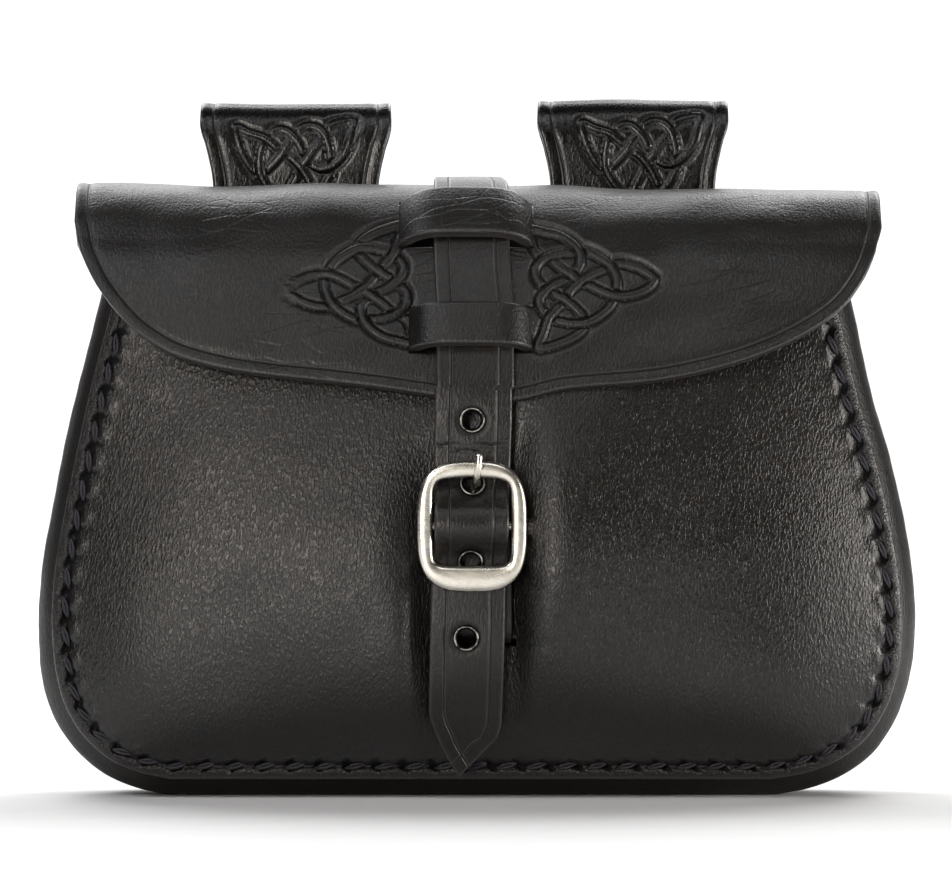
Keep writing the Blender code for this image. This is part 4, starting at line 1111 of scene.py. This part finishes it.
# %% The strap's line and grid
STRAP_T, FOLDS_Z = 2.0, 88.8  # it is bent in small folds above the buckle
STRAP_FRONT = [  # height, depth, left, right
    (95.4, -36.3, -11, 8.4), (90, -36.3, -11.2, 8.2), (84, -36.6, -11.2, 8),
    (80, -37.1, -11.1, 7.8), (76.5, -38.9, -11, 7.7), (73, -41.7, -11, 7.6), (69, -42.8, -11, 7.6),
    (66, -41.9, -11, 7.5), (63.6, -39.5, -11.1, 7.4), (61.3, -37.8, -11.2, 7.3),
    (58, -37.2, -11.6, 7.1), (52, -37.1, -11.9, 6.8), (41, -36.8, -12.2, 6.6),
    (30, -35.3, -12.4, 6.3), (22.3, -33.2, -12.5, 6), (19.5, -32.3, -12, 5.9),
    (15.7, -30.9, -10.5, 4.9), (13, -29.8, -9.4, 2.5), (5.5, -26.8, -5.2, -4.6),
]
STRAP_LAID = [  # length along the flap, left, right
    (4, -10.9, 4.6), (42, -11.1, 4.8), (56, -11.3, 6.2), (66, -11.4, 7.6), (82, -11.4, 7.8),
    (94, -11.2, 8), (106, -10.6, 8.9),
]
EYELETS = [(-1.6, 95.4), (-1.5, 79.3), (-2.0, 60.1), (-3.1, 40.9)]
EYELET_BARREL, EYELET_FLANGE, EYELET_HEIGHT, EYELET_SINK = 2.6, 3.4, 1.0, 0.22
OVER_THE_TOP = 60.0  # the strap is in front of the flap's crown past this length
laid = np.linspace(STRAP_LAID[0][0], front_length(103.0), 22)
bends = (flap_route.at(laid) + flap_route.outward(laid) * (GAP + 0.2 + STRAP_T)).tolist()
strap_route = Route(bends + [(y, z) for z, y, _, _ in STRAP_FRONT], 12)


def strap_edges(length):
    """Left and right edge of the strap at lengths along it."""
    z = strap_route.at(length)[..., 1]
    on_flap = (z > STRAP_FRONT[0][0] + 8.0) | (length < OVER_THE_TOP)
    laid_at = STRAP_LAID[0][0] + length
    return [
        np.where(on_flap, read(STRAP_LAID, side, laid_at), read(STRAP_FRONT, side + 1, z))
        for side in (1, 2)
    ]


def eyelet_seat(x, z):
    """Matrix of an eyelet's place, in millimetres: its Z axis leaves the outer face."""
    length = strap_route.length_at_height(z, OVER_THE_TOP)
    place = strap_route.at(length)
    along = strap_route.along(length, EYELET_FLANGE)
    out = Vector((0.0, along[1], -along[0]))
    side = Vector((1.0, 0.0, 0.0))
    turn = Matrix((side, out.cross(side), out)).transposed().to_4x4()
    return Matrix.Translation((x, place[0] + SHIFT[1], place[1])) @ turn


HALF_STRAP = 9.6
rows = np.linspace(0, strap_route.length, int(strap_route.length / 0.45))
left, right = (side[:, None] for side in strap_edges(rows))
from_edge = np.concatenate([[0, 0.1, 0.25, 0.5, 0.85, 1.25], np.linspace(1.7, HALF_STRAP, 19)])
share = from_edge / HALF_STRAP / 2
x = left + (right - left) * np.concatenate([share, 1 - share[-2::-1]])
lean_left, lean_right = (
    np.cos(np.arctan(np.gradient(side[:, 0], rows)))[:, None] for side in (left, right)
)
edge, edge_b = (x - left) * lean_left, (right - x) * lean_right
print("strap grid", x.shape)

# %% Eyelet holes in the strap's grid, and the strap itself
missing = np.zeros((x.shape[0] - 1, x.shape[1] - 1), bool)
along = rows[:, None] + 0 * x
near_hole = np.zeros(x.shape)
for ex, ez in EYELETS:
    centre = strap_route.length_at_height(ez, OVER_THE_TOP)
    away = np.hypot(x - ex, along - centre)
    middle = (away[:-1, :-1] + away[1:, :-1] + away[1:, 1:] + away[:-1, 1:]) / 4
    hole = middle < EYELET_BARREL + 0.25
    missing |= hole
    padded = np.pad(hole, 1)
    touched = padded[:-1, :-1] | padded[1:, :-1] | padded[1:, 1:] | padded[:-1, 1:]
    grow = np.where(touched, (EYELET_BARREL + 0.3) / np.maximum(away, 0.01), 1)
    x = ex + (x - ex) * grow
    along = centre + (along - centre) * grow
    near_hole = np.maximum(near_hole, hump(np.maximum(away - EYELET_FLANGE, 0), 0.7))
place, outward = strap_route.at(along), strap_route.outward(along)
z = place[..., 1]
nearer = np.minimum(edge, edge_b)
bow = 0.25 * ((x - (left + right) / 2) / 10) ** 2 * (z < 98) + 0.12 * ripple(x, along, 8, 19.0)
folds = 0.16 * np.sin(along * 5.6 + 0.6 * np.sin(x * 0.5)) * hump(z - FOLDS_Z, 2.4)
sink = rounded_off(nearer, 0.7) + EYELET_SINK * near_hole + bow - folds * (along > OVER_THE_TOP)
# A painted highlight along the cut edges, partly abrasion, and painted shade round the eyelets.
worn_and_lit = 0.4 * hump(nearer - 0.3, 0.4)
strap = wall(
    "strap_leather", *on_route(x, place, outward, sink), STRAP_T,
    {"press": near_hole * 0.8, "wear": worn_and_lit, "edge": edge, "edge_b": edge_b}, missing,
)
strap_hide = leather("strap_hide", grain=0.55, rough=0.36, crease=3.6, tone=1.1)
finish_off(strap, strap_hide, "strap_leather", "strap")

# %% [markdown]
# ## Eyelets
# Each hole has a blackened metal eyelet: a short barrel, rolled over outwards on the front. It is
# made the way it is pressed, from a ring of points pulled up into a tube and opened out step by
# step, then thickened. The top of the rolled rim is painted as bright metal in patches: partly
# abrasion through the black, partly a painted highlight where the rim catches the light.

# %% One eyelet, copied to its four places
EYELET_SIDES, EYELET_THICK = 48, 0.22


def ring_up(radius, height, profile):
    """A tube: a circle, extruded through (radius, height) steps, in millimetres."""
    bpy.ops.object.select_all(action="DESELECT")
    bpy.ops.mesh.primitive_circle_add(
        vertices=EYELET_SIDES, radius=radius * MM, location=(0, 0, height * MM)
    )
    bpy.ops.object.transform_apply()
    bpy.ops.object.mode_set(mode="EDIT")
    bpy.ops.mesh.select_mode(type="EDGE")
    bpy.ops.mesh.select_all(action="SELECT")
    for wider, higher in profile:
        up = {"value": (0, 0, (higher - height) * MM)}
        bpy.ops.mesh.extrude_region_move(TRANSFORM_OT_translate=up)
        grown = wider / radius
        bpy.ops.transform.resize(value=(grown, grown, 1), center_override=(0, 0, 0))
        radius, height = wider, higher
    bpy.ops.object.mode_set(mode="OBJECT")
    edit(bpy.ops.mesh.normals_make_consistent, inside=False)
    return bpy.context.object


def apply_all(piece):
    select(piece)
    for modifier in list(piece.modifiers):
        bpy.ops.object.modifier_apply(modifier=modifier.name)


under, top = -STRAP_T - 0.25, 0.25 + EYELET_HEIGHT
eyelet = ring_up(3.2, under - 0.1, [
    (2.7, under - 0.3), (2.3, under - 0.25), (2.2, under + 0.4), (2.2, top - 1.1),
    (2.3, top - 0.65), (2.5, top - 0.3), (2.75, top - 0.06), (2.92, top), (3.08, top - 0.07),
    (3.25, top - 0.3), (3.38, top - 0.6), (3.4, top - 0.85), (3.28, top - 0.95),
])
thick = eyelet.modifiers.new("thickness", "SOLIDIFY")
thick.thickness, thick.offset = EYELET_THICK * MM, -1.0
apply_all(eyelet)
smooth_below(60)

BLACKED = Finish("blackened_metal", Metallic=1.0)
scuff = BLACKED.noise(700.0, 3.0)
# Bright metal on the rim's top: partly abrasion, partly a painted highlight.
rubbed_and_lit = (BLACKED.mark("rise").rise(0.86, 0.99) * scuff.rise(0.3, 0.6)).clamped()
BLACKED.set("Base Color", BLACKED.mix(rubbed_and_lit, (0.022, 0.021, 0.021, 1), (0.42, 0.40, 0.37, 1)))
BLACKED.set("Roughness", 0.42 - rubbed_and_lit * 0.12 + (scuff - 0.5) * 0.2)
BLACKED.bump(scuff * 0.03)

worn_and_lit = [min(max(v.co.z / MM - top + 1.0, 0), 1) for v in eyelet.data.vertices]
eyelet.data.attributes.new("rise", "FLOAT", "POINT").data.foreach_set("value", worn_and_lit)
for n, (ex, ez) in enumerate(EYELETS, 1):
    mesh = eyelet.data.copy()
    seat = eyelet_seat(ex, ez)
    mesh.transform(Matrix.Scale(MM, 4) @ seat @ Matrix.Scale(1 / MM, 4))
    finish_off(put(f"eyelet_ring_{n}", mesh), BLACKED.material, "eyelet_metal", f"eyelet_{n}")
bpy.data.objects.remove(eyelet, do_unlink=True)
print("eyelets at", EYELETS)

# %% [markdown]
# ## The buckle
# A cast frame with a bar across its middle, and a prong curled round the bar. The frame starts as
# a torus, whose points are then moved on to the real outline: a rounded square outside, a squarer
# window inside, broad at the foot. Its bar and lugs are joined on, and a bevel softens them.

# %% The buckle's frame
BUCKLE_X, BUCKLE_Y, BUCKLE_Z = -1.65, -39.9, 68.9
FRAME_HALF_T, FRAME_WIDE, FRAME_HIGH, FRAME_SQUARENESS = 1.4, 27.4, 32.8, 3.1
WINDOW_WIDE, WINDOW_HIGH, WINDOW_UP, WINDOW_ARCH, WINDOW_SQUARENESS = 19.6, 21.2, 0.7, 0.9, 9.0
BAR_SET_BACK, BAR_R, LUG_WIDE, LUG_HIGH, LUG_SET_BACK = 2.0, 1.1, 2.4, 4.0, 0.3


def rounded(angle, wide, high, squareness):
    """Points of a rounded rectangle: an ellipse at 2, and squarer above that."""
    c, s = np.cos(angle), np.sin(angle)
    total = np.abs(2 * c / wide) ** squareness + np.abs(2 * s / high) ** squareness
    return np.stack([c, s], -1) * total[:, None] ** (-1 / squareness)


AROUND, ACROSS = 120, 20
bpy.ops.mesh.primitive_torus_add(
    major_segments=AROUND, minor_segments=ACROSS, major_radius=0.012, minor_radius=0.002
)
ring = bpy.context.object
ring.name = "buckle_frame_metal"
angle = math.tau * np.repeat(np.arange(AROUND), ACROSS) / AROUND
turn = math.tau * np.tile(np.arange(ACROSS), AROUND) / ACROSS
outer = rounded(angle, FRAME_WIDE, FRAME_HIGH, FRAME_SQUARENESS)
window = rounded(angle, WINDOW_WIDE, WINDOW_HIGH, WINDOW_SQUARENESS)
across = window[:, 0] / WINDOW_WIDE * 2
window[:, 1] += WINDOW_UP + np.where(window[:, 1] > 0, WINDOW_ARCH * (1 - across**2), 0)
c, s = np.cos(turn), np.sin(turn)
wide = np.sign(c) * np.abs(c) ** 0.62  # the bar's section: rounder in front than behind
high = np.sign(s) * np.abs(s) ** np.where(s > 0, 0.85, 0.5)
spot = (outer + window) / 2 + (outer - window) / 2 * wide[:, None]
front = BUCKLE_Y - FRAME_HALF_T * high
co = np.stack([BUCKLE_X + spot[:, 0], front, BUCKLE_Z + spot[:, 1]], -1)
ring.data.vertices.foreach_set("co", ((co + SHIFT) * MM).astype(np.float32).ravel())
ring.location = (0, 0, 0)
select(ring)
edit(bpy.ops.mesh.normals_make_consistent, inside=False)


def join_on(piece, other):
    """Union another closed shape into a piece."""
    select(piece)
    union = piece.modifiers.new("join", "BOOLEAN")
    union.operation, union.solver, union.object = "UNION", "EXACT", other
    bpy.ops.object.modifier_apply(modifier="join")
    bpy.data.objects.remove(other, do_unlink=True)


def at_place(x, y, z):
    """A place among the pouch's pieces, in metres."""
    return ((np.array([x, y, z]) + SHIFT) * MM).tolist()


bar_y = BUCKLE_Y + BAR_SET_BACK
lug_back = bar_y + BAR_R
bpy.ops.mesh.primitive_cylinder_add(
    vertices=32, radius=BAR_R * MM, depth=(WINDOW_WIDE + LUG_WIDE) * MM,
    rotation=(0, math.pi / 2, 0), location=at_place(BUCKLE_X, bar_y, BUCKLE_Z),
)
bpy.ops.object.transform_apply()
join_on(ring, bpy.context.object)
for side in (-1, 1):
    middle = BUCKLE_X + side * (WINDOW_WIDE / 2 + 0.2 + LUG_WIDE / 2)
    place = at_place(middle, (BUCKLE_Y + lug_back) / 2 + LUG_SET_BACK, BUCKLE_Z)
    bpy.ops.mesh.primitive_cube_add(size=1.0, location=place)
    lug = bpy.context.object
    lug.scale = (LUG_WIDE * MM, (lug_back - BUCKLE_Y) * MM, LUG_HIGH * MM)
    bpy.ops.object.transform_apply()
    edit(bpy.ops.mesh.bevel, offset=0.5 * MM, segments=3)
    join_on(ring, lug)
select(ring)
smooth_below(40)

NICKEL = Finish("worn_nickel", Metallic=1.0)
smear = NICKEL.noise(160.0, 4.0, 0.6)
speck = NICKEL.noise(1500.0, 2.0)
scratches = NICKEL.noise(500.0, 2.0, where=NICKEL.stretched((6.0, 1, 1), (0.0, 0.3, 0.0)))
tarnish = smear.rise(0.35, 0.75)
NICKEL.set("Base Color", NICKEL.mix(tarnish, (0.82, 0.79, 0.71, 1), (0.62, 0.58, 0.50, 1)))
NICKEL.set("Roughness", (0.20 + smear * 0.16 + (scratches - 0.5) * 0.2).clamped())
NICKEL.bump(scratches * 0.012 + speck * 0.006 + smear * 0.03)
finish_off(ring, NICKEL.material, "buckle_metal", "buckle_frame")
print("buckle frame:", len(ring.data.polygons), "faces")

# %% [markdown]
# The prong is a bent rod: one curve with a round section, thinner where it curls round the bar,
# turned into a mesh.

# %% The prong
PRONG_R, PRONG_CURL_R, PRONG_X, PRONG_LEAN = 0.95, 0.55, -1.6, 0.1
PRONG_SHANK = [  # depth, height
    (-34.8, 73.0), (-34.2, 76.2), (-34.9, 78.2), (-36.6, 79.1), (-38.6, 79.6), (-40.4, 80.3),
    (-42.0, 81.5), (-42.8, 83.8), (-42.7, 87.2),
]
curl, thin = BAR_R + GAP - 0.05 + PRONG_CURL_R, PRONG_CURL_R / PRONG_R
turns = np.radians(np.linspace(50, 270, 22))
line = [(bar_y - curl * math.sin(t), BUCKLE_Z + curl * math.cos(t), thin) for t in turns]
shank = through([line[-1][:2]] + PRONG_SHANK, 6)
line += [(y, z, min(1.0, thin + n / 30)) for n, (y, z) in enumerate(shank[1:], 1)]
curve = bpy.data.curves.new("prong", "CURVE")
curve.dimensions, curve.use_fill_caps = "3D", True
curve.bevel_depth, curve.bevel_resolution = PRONG_R * MM, 5
spline = curve.splines.new("POLY")
spline.points.add(len(line) - 1)
tip = line[-1][1]
for spot, (y, z, thick) in zip(spline.points, line):
    x = PRONG_X + PRONG_LEAN * max(z - BUCKLE_Z, 0.0)
    spot.co = (*at_place(x, y, z), 1.0)
    spot.radius = thick * (1 - 0.55 * max(0.0, 1 - (tip - z) / 0.7) ** 2)
prong = bpy.data.objects.new("prong_metal", curve)
bpy.context.scene.collection.objects.link(prong)
select(prong)
bpy.ops.object.convert(target="MESH")
prong = bpy.context.object
smooth_below(50)
finish_off(prong, NICKEL.material, "buckle_metal", "buckle_prong")
print("prong:", len(prong.data.polygons), "faces")

# %% [markdown]
# ## The strip that holds the buckle
# A thinner strip doubled over the bar, with a slot for the prong and both ends through the slit in
# the front panel. Almost all of it is hidden, so it is a plain wall along its own line.

# %% The chape
CHAPE_T, CHAPE_OFF, CHAPE_SLOT = 1.1, 0.4, 3.6
CHAPE_SIDES = [  # height, left, right
    (30, -12, 8.4), (46, -12, 8.4), (58, -11.6, 8.2), (66, -11.1, 7.7), (72, -11.1, 7.7),
]
STRIP_LEFT, SLOT_COLUMN = -12.8, 5


def behind(z):
    """Depth of the strip's face where it lies on the front panel."""
    return float(front_seam_y(z) - swell(STRIP_LEFT, z)) - CHAPE_OFF


wrap = BAR_R + GAP + CHAPE_T
step = 2 * CHAPE_T + GAP
bends = [
    (behind(33) + 7.1, 33), (behind(38) + 6.5, 38.2), (behind(40) + 4.6, 40.5),
    (behind(41) + 2.4, 41.3), (behind(42.5) + 0.5, 42.6), (behind(45.5), 45.5), (behind(52), 52),
    (behind(58), 58), (behind(62.5), 62.5), (bar_y + wrap + 0.2, BUCKLE_Z - 1.8),
]
turns = np.radians(np.linspace(-70, 135, 7))
bends += [(bar_y - wrap * math.sin(t), BUCKLE_Z + wrap * math.cos(t)) for t in turns]
bends += [
    (bar_y + 1.25, BUCKLE_Z - 4.4), (behind(61.5) - step + 0.15, 61.5), (behind(57) - step, 57),
    (behind(51) - step, 51), (behind(45) - step, 44.8), (behind(41.4) - step + 0.7, 41.5),
    (behind(39.3) + 0.4, 39.4), (behind(38.5) + 2.6, 38.6), (behind(37) + 4.0, 36.6),
    (behind(32) + 4.5, 32),
]
route = Route(bends, 4)
z = route.points[:, 1:]
left, right = (read(CHAPE_SIDES, side, z) for side in (1, 2))
slot = (PRONG_X - left.max() + np.array([-0.5, 0.5]) * CHAPE_SLOT) / (right.min() - left.max())
share = np.array([0, 0.01, 0.03, 0.06, 0.2, *slot, 0.8, 0.94, 0.97, 0.99, 1.0])
x = left + (right - left) * share
sink = rounded_off(np.minimum(x - left, right - x), 0.4)
outward = route.outward(route.lengths)[:, None]
in_slot = (np.minimum(z[:-1], z[1:]) > BUCKLE_Z - 3.2) & (np.arange(len(share) - 1) == SLOT_COLUMN)
chape = wall(
    "buckle_strip", *on_route(x, route.points[:, None], outward, sink), CHAPE_T, {}, in_slot
)
finish_off(chape, leather("strip_hide", grain=0.5, rough=0.45), "strap_leather", "buckle_chape")

# %% [markdown]
# ## Belt loops
# Two wider straps stand up behind the fold, turn over at the top and come down the back, where a
# belt would pass through them. The same knot is pressed where they face forward, and partly turns
# over the fold. A crease follows each side.

# %% The loops
LOOP_T, LOOP_FRONT_Y, LOOP_REAR_Y = 2.0, 23.6, 37.6
LOOP_SEWN_Y = BACK_FACE + GAP + LOOP_T
LOOP_BENDS = [
    (LOOP_FRONT_Y, 119), (LOOP_FRONT_Y, 140), (LOOP_FRONT_Y, 160), (LOOP_FRONT_Y + 0.1, 172),
    (26, 177.9), (30.6, 180.2), (35.2, 177.9), (LOOP_REAR_Y, 171.5), (LOOP_REAR_Y, 150),
    (LOOP_REAR_Y, 122), (36.4, 108), (31.6, 97), (26, 89), (LOOP_SEWN_Y + 0.3, 83),
    (LOOP_SEWN_Y, 78), (LOOP_SEWN_Y, 64),
]
LOOP_FLARE = [  # height, half the width
    (64, 19.5), (120, 20), (150, 20.9), (160, 21.6), (168, 23.2), (175, 24.9), (181, 24.8),
]
LOOPS = [  # side, middle, drop, centre of the knot
    ("left", -47.7, 1.7, (-47.2, 163.0)), ("right", 40.3, 0.8, (42.9, 164.2)),
]
LOOP_KNOT_TURN, LOOP_KNOT_DEPTH, LOOP_CREASE = math.radians(-90), 0.6, 3.4
KNOT_FROM, KNOT_TO = 36.0, 72.0  # the lengths of the loop that may carry the knot
LOOP_Z_160 = 41.0  # the length where the loop's front is 160 mm high
LOOP_ROWS, LOOP_ROW_STITCHES, LOOP_PITCH = (68.0, 76.0), (-1.5, -0.5, 0.5, 1.5), 7.4
route = Route(LOOP_BENDS, 16)
rows = between(0, 36, 1.5) + between(36.5, 70, 0.4) + between(70.8, route.length, 0.9)
rows = np.array(rows)[:, None]
from_edge = np.array([0, 0.1, 0.25, 0.5, 0.85, 1.25, 1.8, 2.4, 3.0, 3.4, 3.8, 4.4]) / 40.0
share = np.concatenate([from_edge, np.linspace(0.12, 0.88, 76), 1 - from_edge[::-1]])
place, outward = route.at(rows), -route.outward(rows)
half = read(LOOP_FLARE, 1, place[..., 1])
edge = np.minimum(share, 1 - share) * 2 * half
end = np.minimum(rows, route.length - rows)
# A painted highlight along the cut edges, partly abrasion; the knots add painted groove shade and a
# painted rim highlight.
worn_and_lit = 0.3 * hump(edge - 0.3, 0.4)
loop_hide = leather("loop_hide", grain=0.4, rough=0.26, crease=LOOP_CREASE, tone=0.3)
for name, middle, drop, centre in LOOPS:
    x = middle + half * (1 - 2 * share)
    unrolled = rows + 0 * x - LOOP_Z_160 + 160.0 - drop
    pressed = press_knot(x, unrolled, centre, LOOP_KNOT_TURN) * LOOP_KNOT_DEPTH
    knot_height, dark, rim = pressed * ease(KNOT_FROM, KNOT_FROM + 2, rows) * (rows < KNOT_TO)
    soft = 0.15 * ripple(x, unrolled, 17, 30.0) + 0.25 * hump(edge - LOOP_CREASE, 0.8)
    sink = rounded_off(np.minimum(edge, end), 0.7) + soft * ease(0, 6, end) - knot_height
    loop = wall(
        f"loop_leather_{name}", *on_route(x, place, outward, sink, drop), LOOP_T,
        {"press": np.clip(dark, 0, 1), "wear": rim * 0.3 + worn_and_lit, "edge": edge},
        rows=every(3, len(rows)), columns=every(4, x.shape[1]),
    )
    finish_off(loop, loop_hide, "body_leather", f"belt_loop_{name}")
    sew(f"loop_stitches_{name}", [
        ((middle + n * LOOP_PITCH, LOOP_SEWN_Y - 0.35, height - drop), (1, 0, 0.12), (0, 1, 0))
        for height in LOOP_ROWS for n in LOOP_ROW_STITCHES
    ])

# %% [markdown]
# ## Floor and light
# The pouch stands on a pale floor that sweeps up into a pale wall well behind it. The main light
# is a warm, low panel in front, a little to the left, so that the belly's full middle is bright and
# its sides fall into shadow. Weaker panels above soften it, a low one at the right skims the
# leather's grain, and broad ones behind keep the wall and the far floor white.

# %% Floor
FLOOR_SIDE, WALL_HIGH = 10.0, 3.0  # metres
bpy.ops.object.select_all(action="DESELECT")
bpy.ops.mesh.primitive_plane_add(size=1.0, location=(0, 0, -0.0002))
floor = bpy.context.object
floor.name = "floor"
floor.scale = (FLOOR_SIDE, FLOOR_SIDE, 1.0)
bpy.ops.object.transform_apply()
bpy.ops.object.mode_set(mode="EDIT")
bpy.ops.mesh.select_mode(type="EDGE")
bpy.ops.mesh.select_all(action="DESELECT")
bpy.ops.object.mode_set(mode="OBJECT")
for e in floor.data.edges:
    e.select = all(floor.data.vertices[v].co.y > FLOOR_SIDE / 2 - 0.1 for v in e.vertices)
bpy.ops.object.mode_set(mode="EDIT")
bpy.ops.mesh.extrude_region_move(TRANSFORM_OT_translate={"value": (0, 0, WALL_HIGH)})
bpy.ops.object.mode_set(mode="OBJECT")
sweep = floor.modifiers.new("sweep", "BEVEL")
sweep.width, sweep.segments = 0.9, 24
sweep.limit_method, sweep.angle_limit = "ANGLE", math.radians(30)
apply_all(floor)
bpy.ops.object.shade_smooth()
PAPER = Finish("pale_paper", Roughness=0.9, Specular_IOR_Level=0.1)
fibre = PAPER.noise(60.0, 3.0)
PAPER.set("Base Color", PAPER.mix(fibre, (0.86, 0.86, 0.86, 1), (0.90, 0.90, 0.90, 1)))
floor.data.materials.append(PAPER.material)
print("floor", [round(v, 2) for v in floor.dimensions], "m")


# %% Lights
def softbox(name, azimuth, elevation, distance, size, power, colour=(1, 1, 1)):
    """A soft panel of light: azimuth 0 is the camera's side, 90 is the pouch's right."""
    data = bpy.data.lights.new(name, "AREA")
    data.shape, data.size, data.size_y = "RECTANGLE", size[0], size[1]
    data.energy, data.color = power, colour
    a, e = math.radians(azimuth), math.radians(elevation)
    way = Vector((math.sin(a) * math.cos(e), -math.cos(a) * math.cos(e), math.sin(e)))
    lamp = bpy.data.objects.new(name, data)
    lamp.location = Vector((0, 0, 0.08)) + way * distance
    lamp.rotation_euler = way.to_track_quat("Z", "Y").to_euler()
    bpy.context.scene.collection.objects.link(lamp)
    return lamp


softbox("key_left", -19, 5, 1.6, (0.4, 0.7), 9, (1.0, 0.93, 0.86))
softbox("high_front", -20, 40, 1.6, (0.4, 0.5), 2.0)
softbox("high_left", -60, 40, 1.6, (0.5, 0.5), 5, (0.94, 0.95, 1.0))
softbox("high_right", 15, 45, 1.6, (0.4, 0.5), 2.0)
softbox("rim_right", 72, 4, 1.6, (0.8, 0.6), 20, (1.0, 0.95, 0.90))
softbox("wall_wash", 180, 32, 4.2, (4.0, 1.0), 70).rotation_euler = (math.radians(60), 0, 0)
softbox("floor_wash", 180, 32, 3.0, (4.0, 1.2), 50).rotation_euler = (0, 0, 0)
softbox("backdrop_left", -150, 50, 2.2, (1.2, 1.2), 30)
softbox("backdrop_right", 150, 50, 2.2, (1.2, 1.2), 30)
world = bpy.data.worlds.new("studio")
world.use_nodes = True
sky = world.node_tree.nodes["Background"]
sky.inputs["Color"].default_value = (0.9, 0.9, 0.92, 1)
sky.inputs["Strength"].default_value = 0.015
bpy.context.scene.world = world
bpy.context.scene.view_settings.view_transform = "Standard"
print("lights ready")
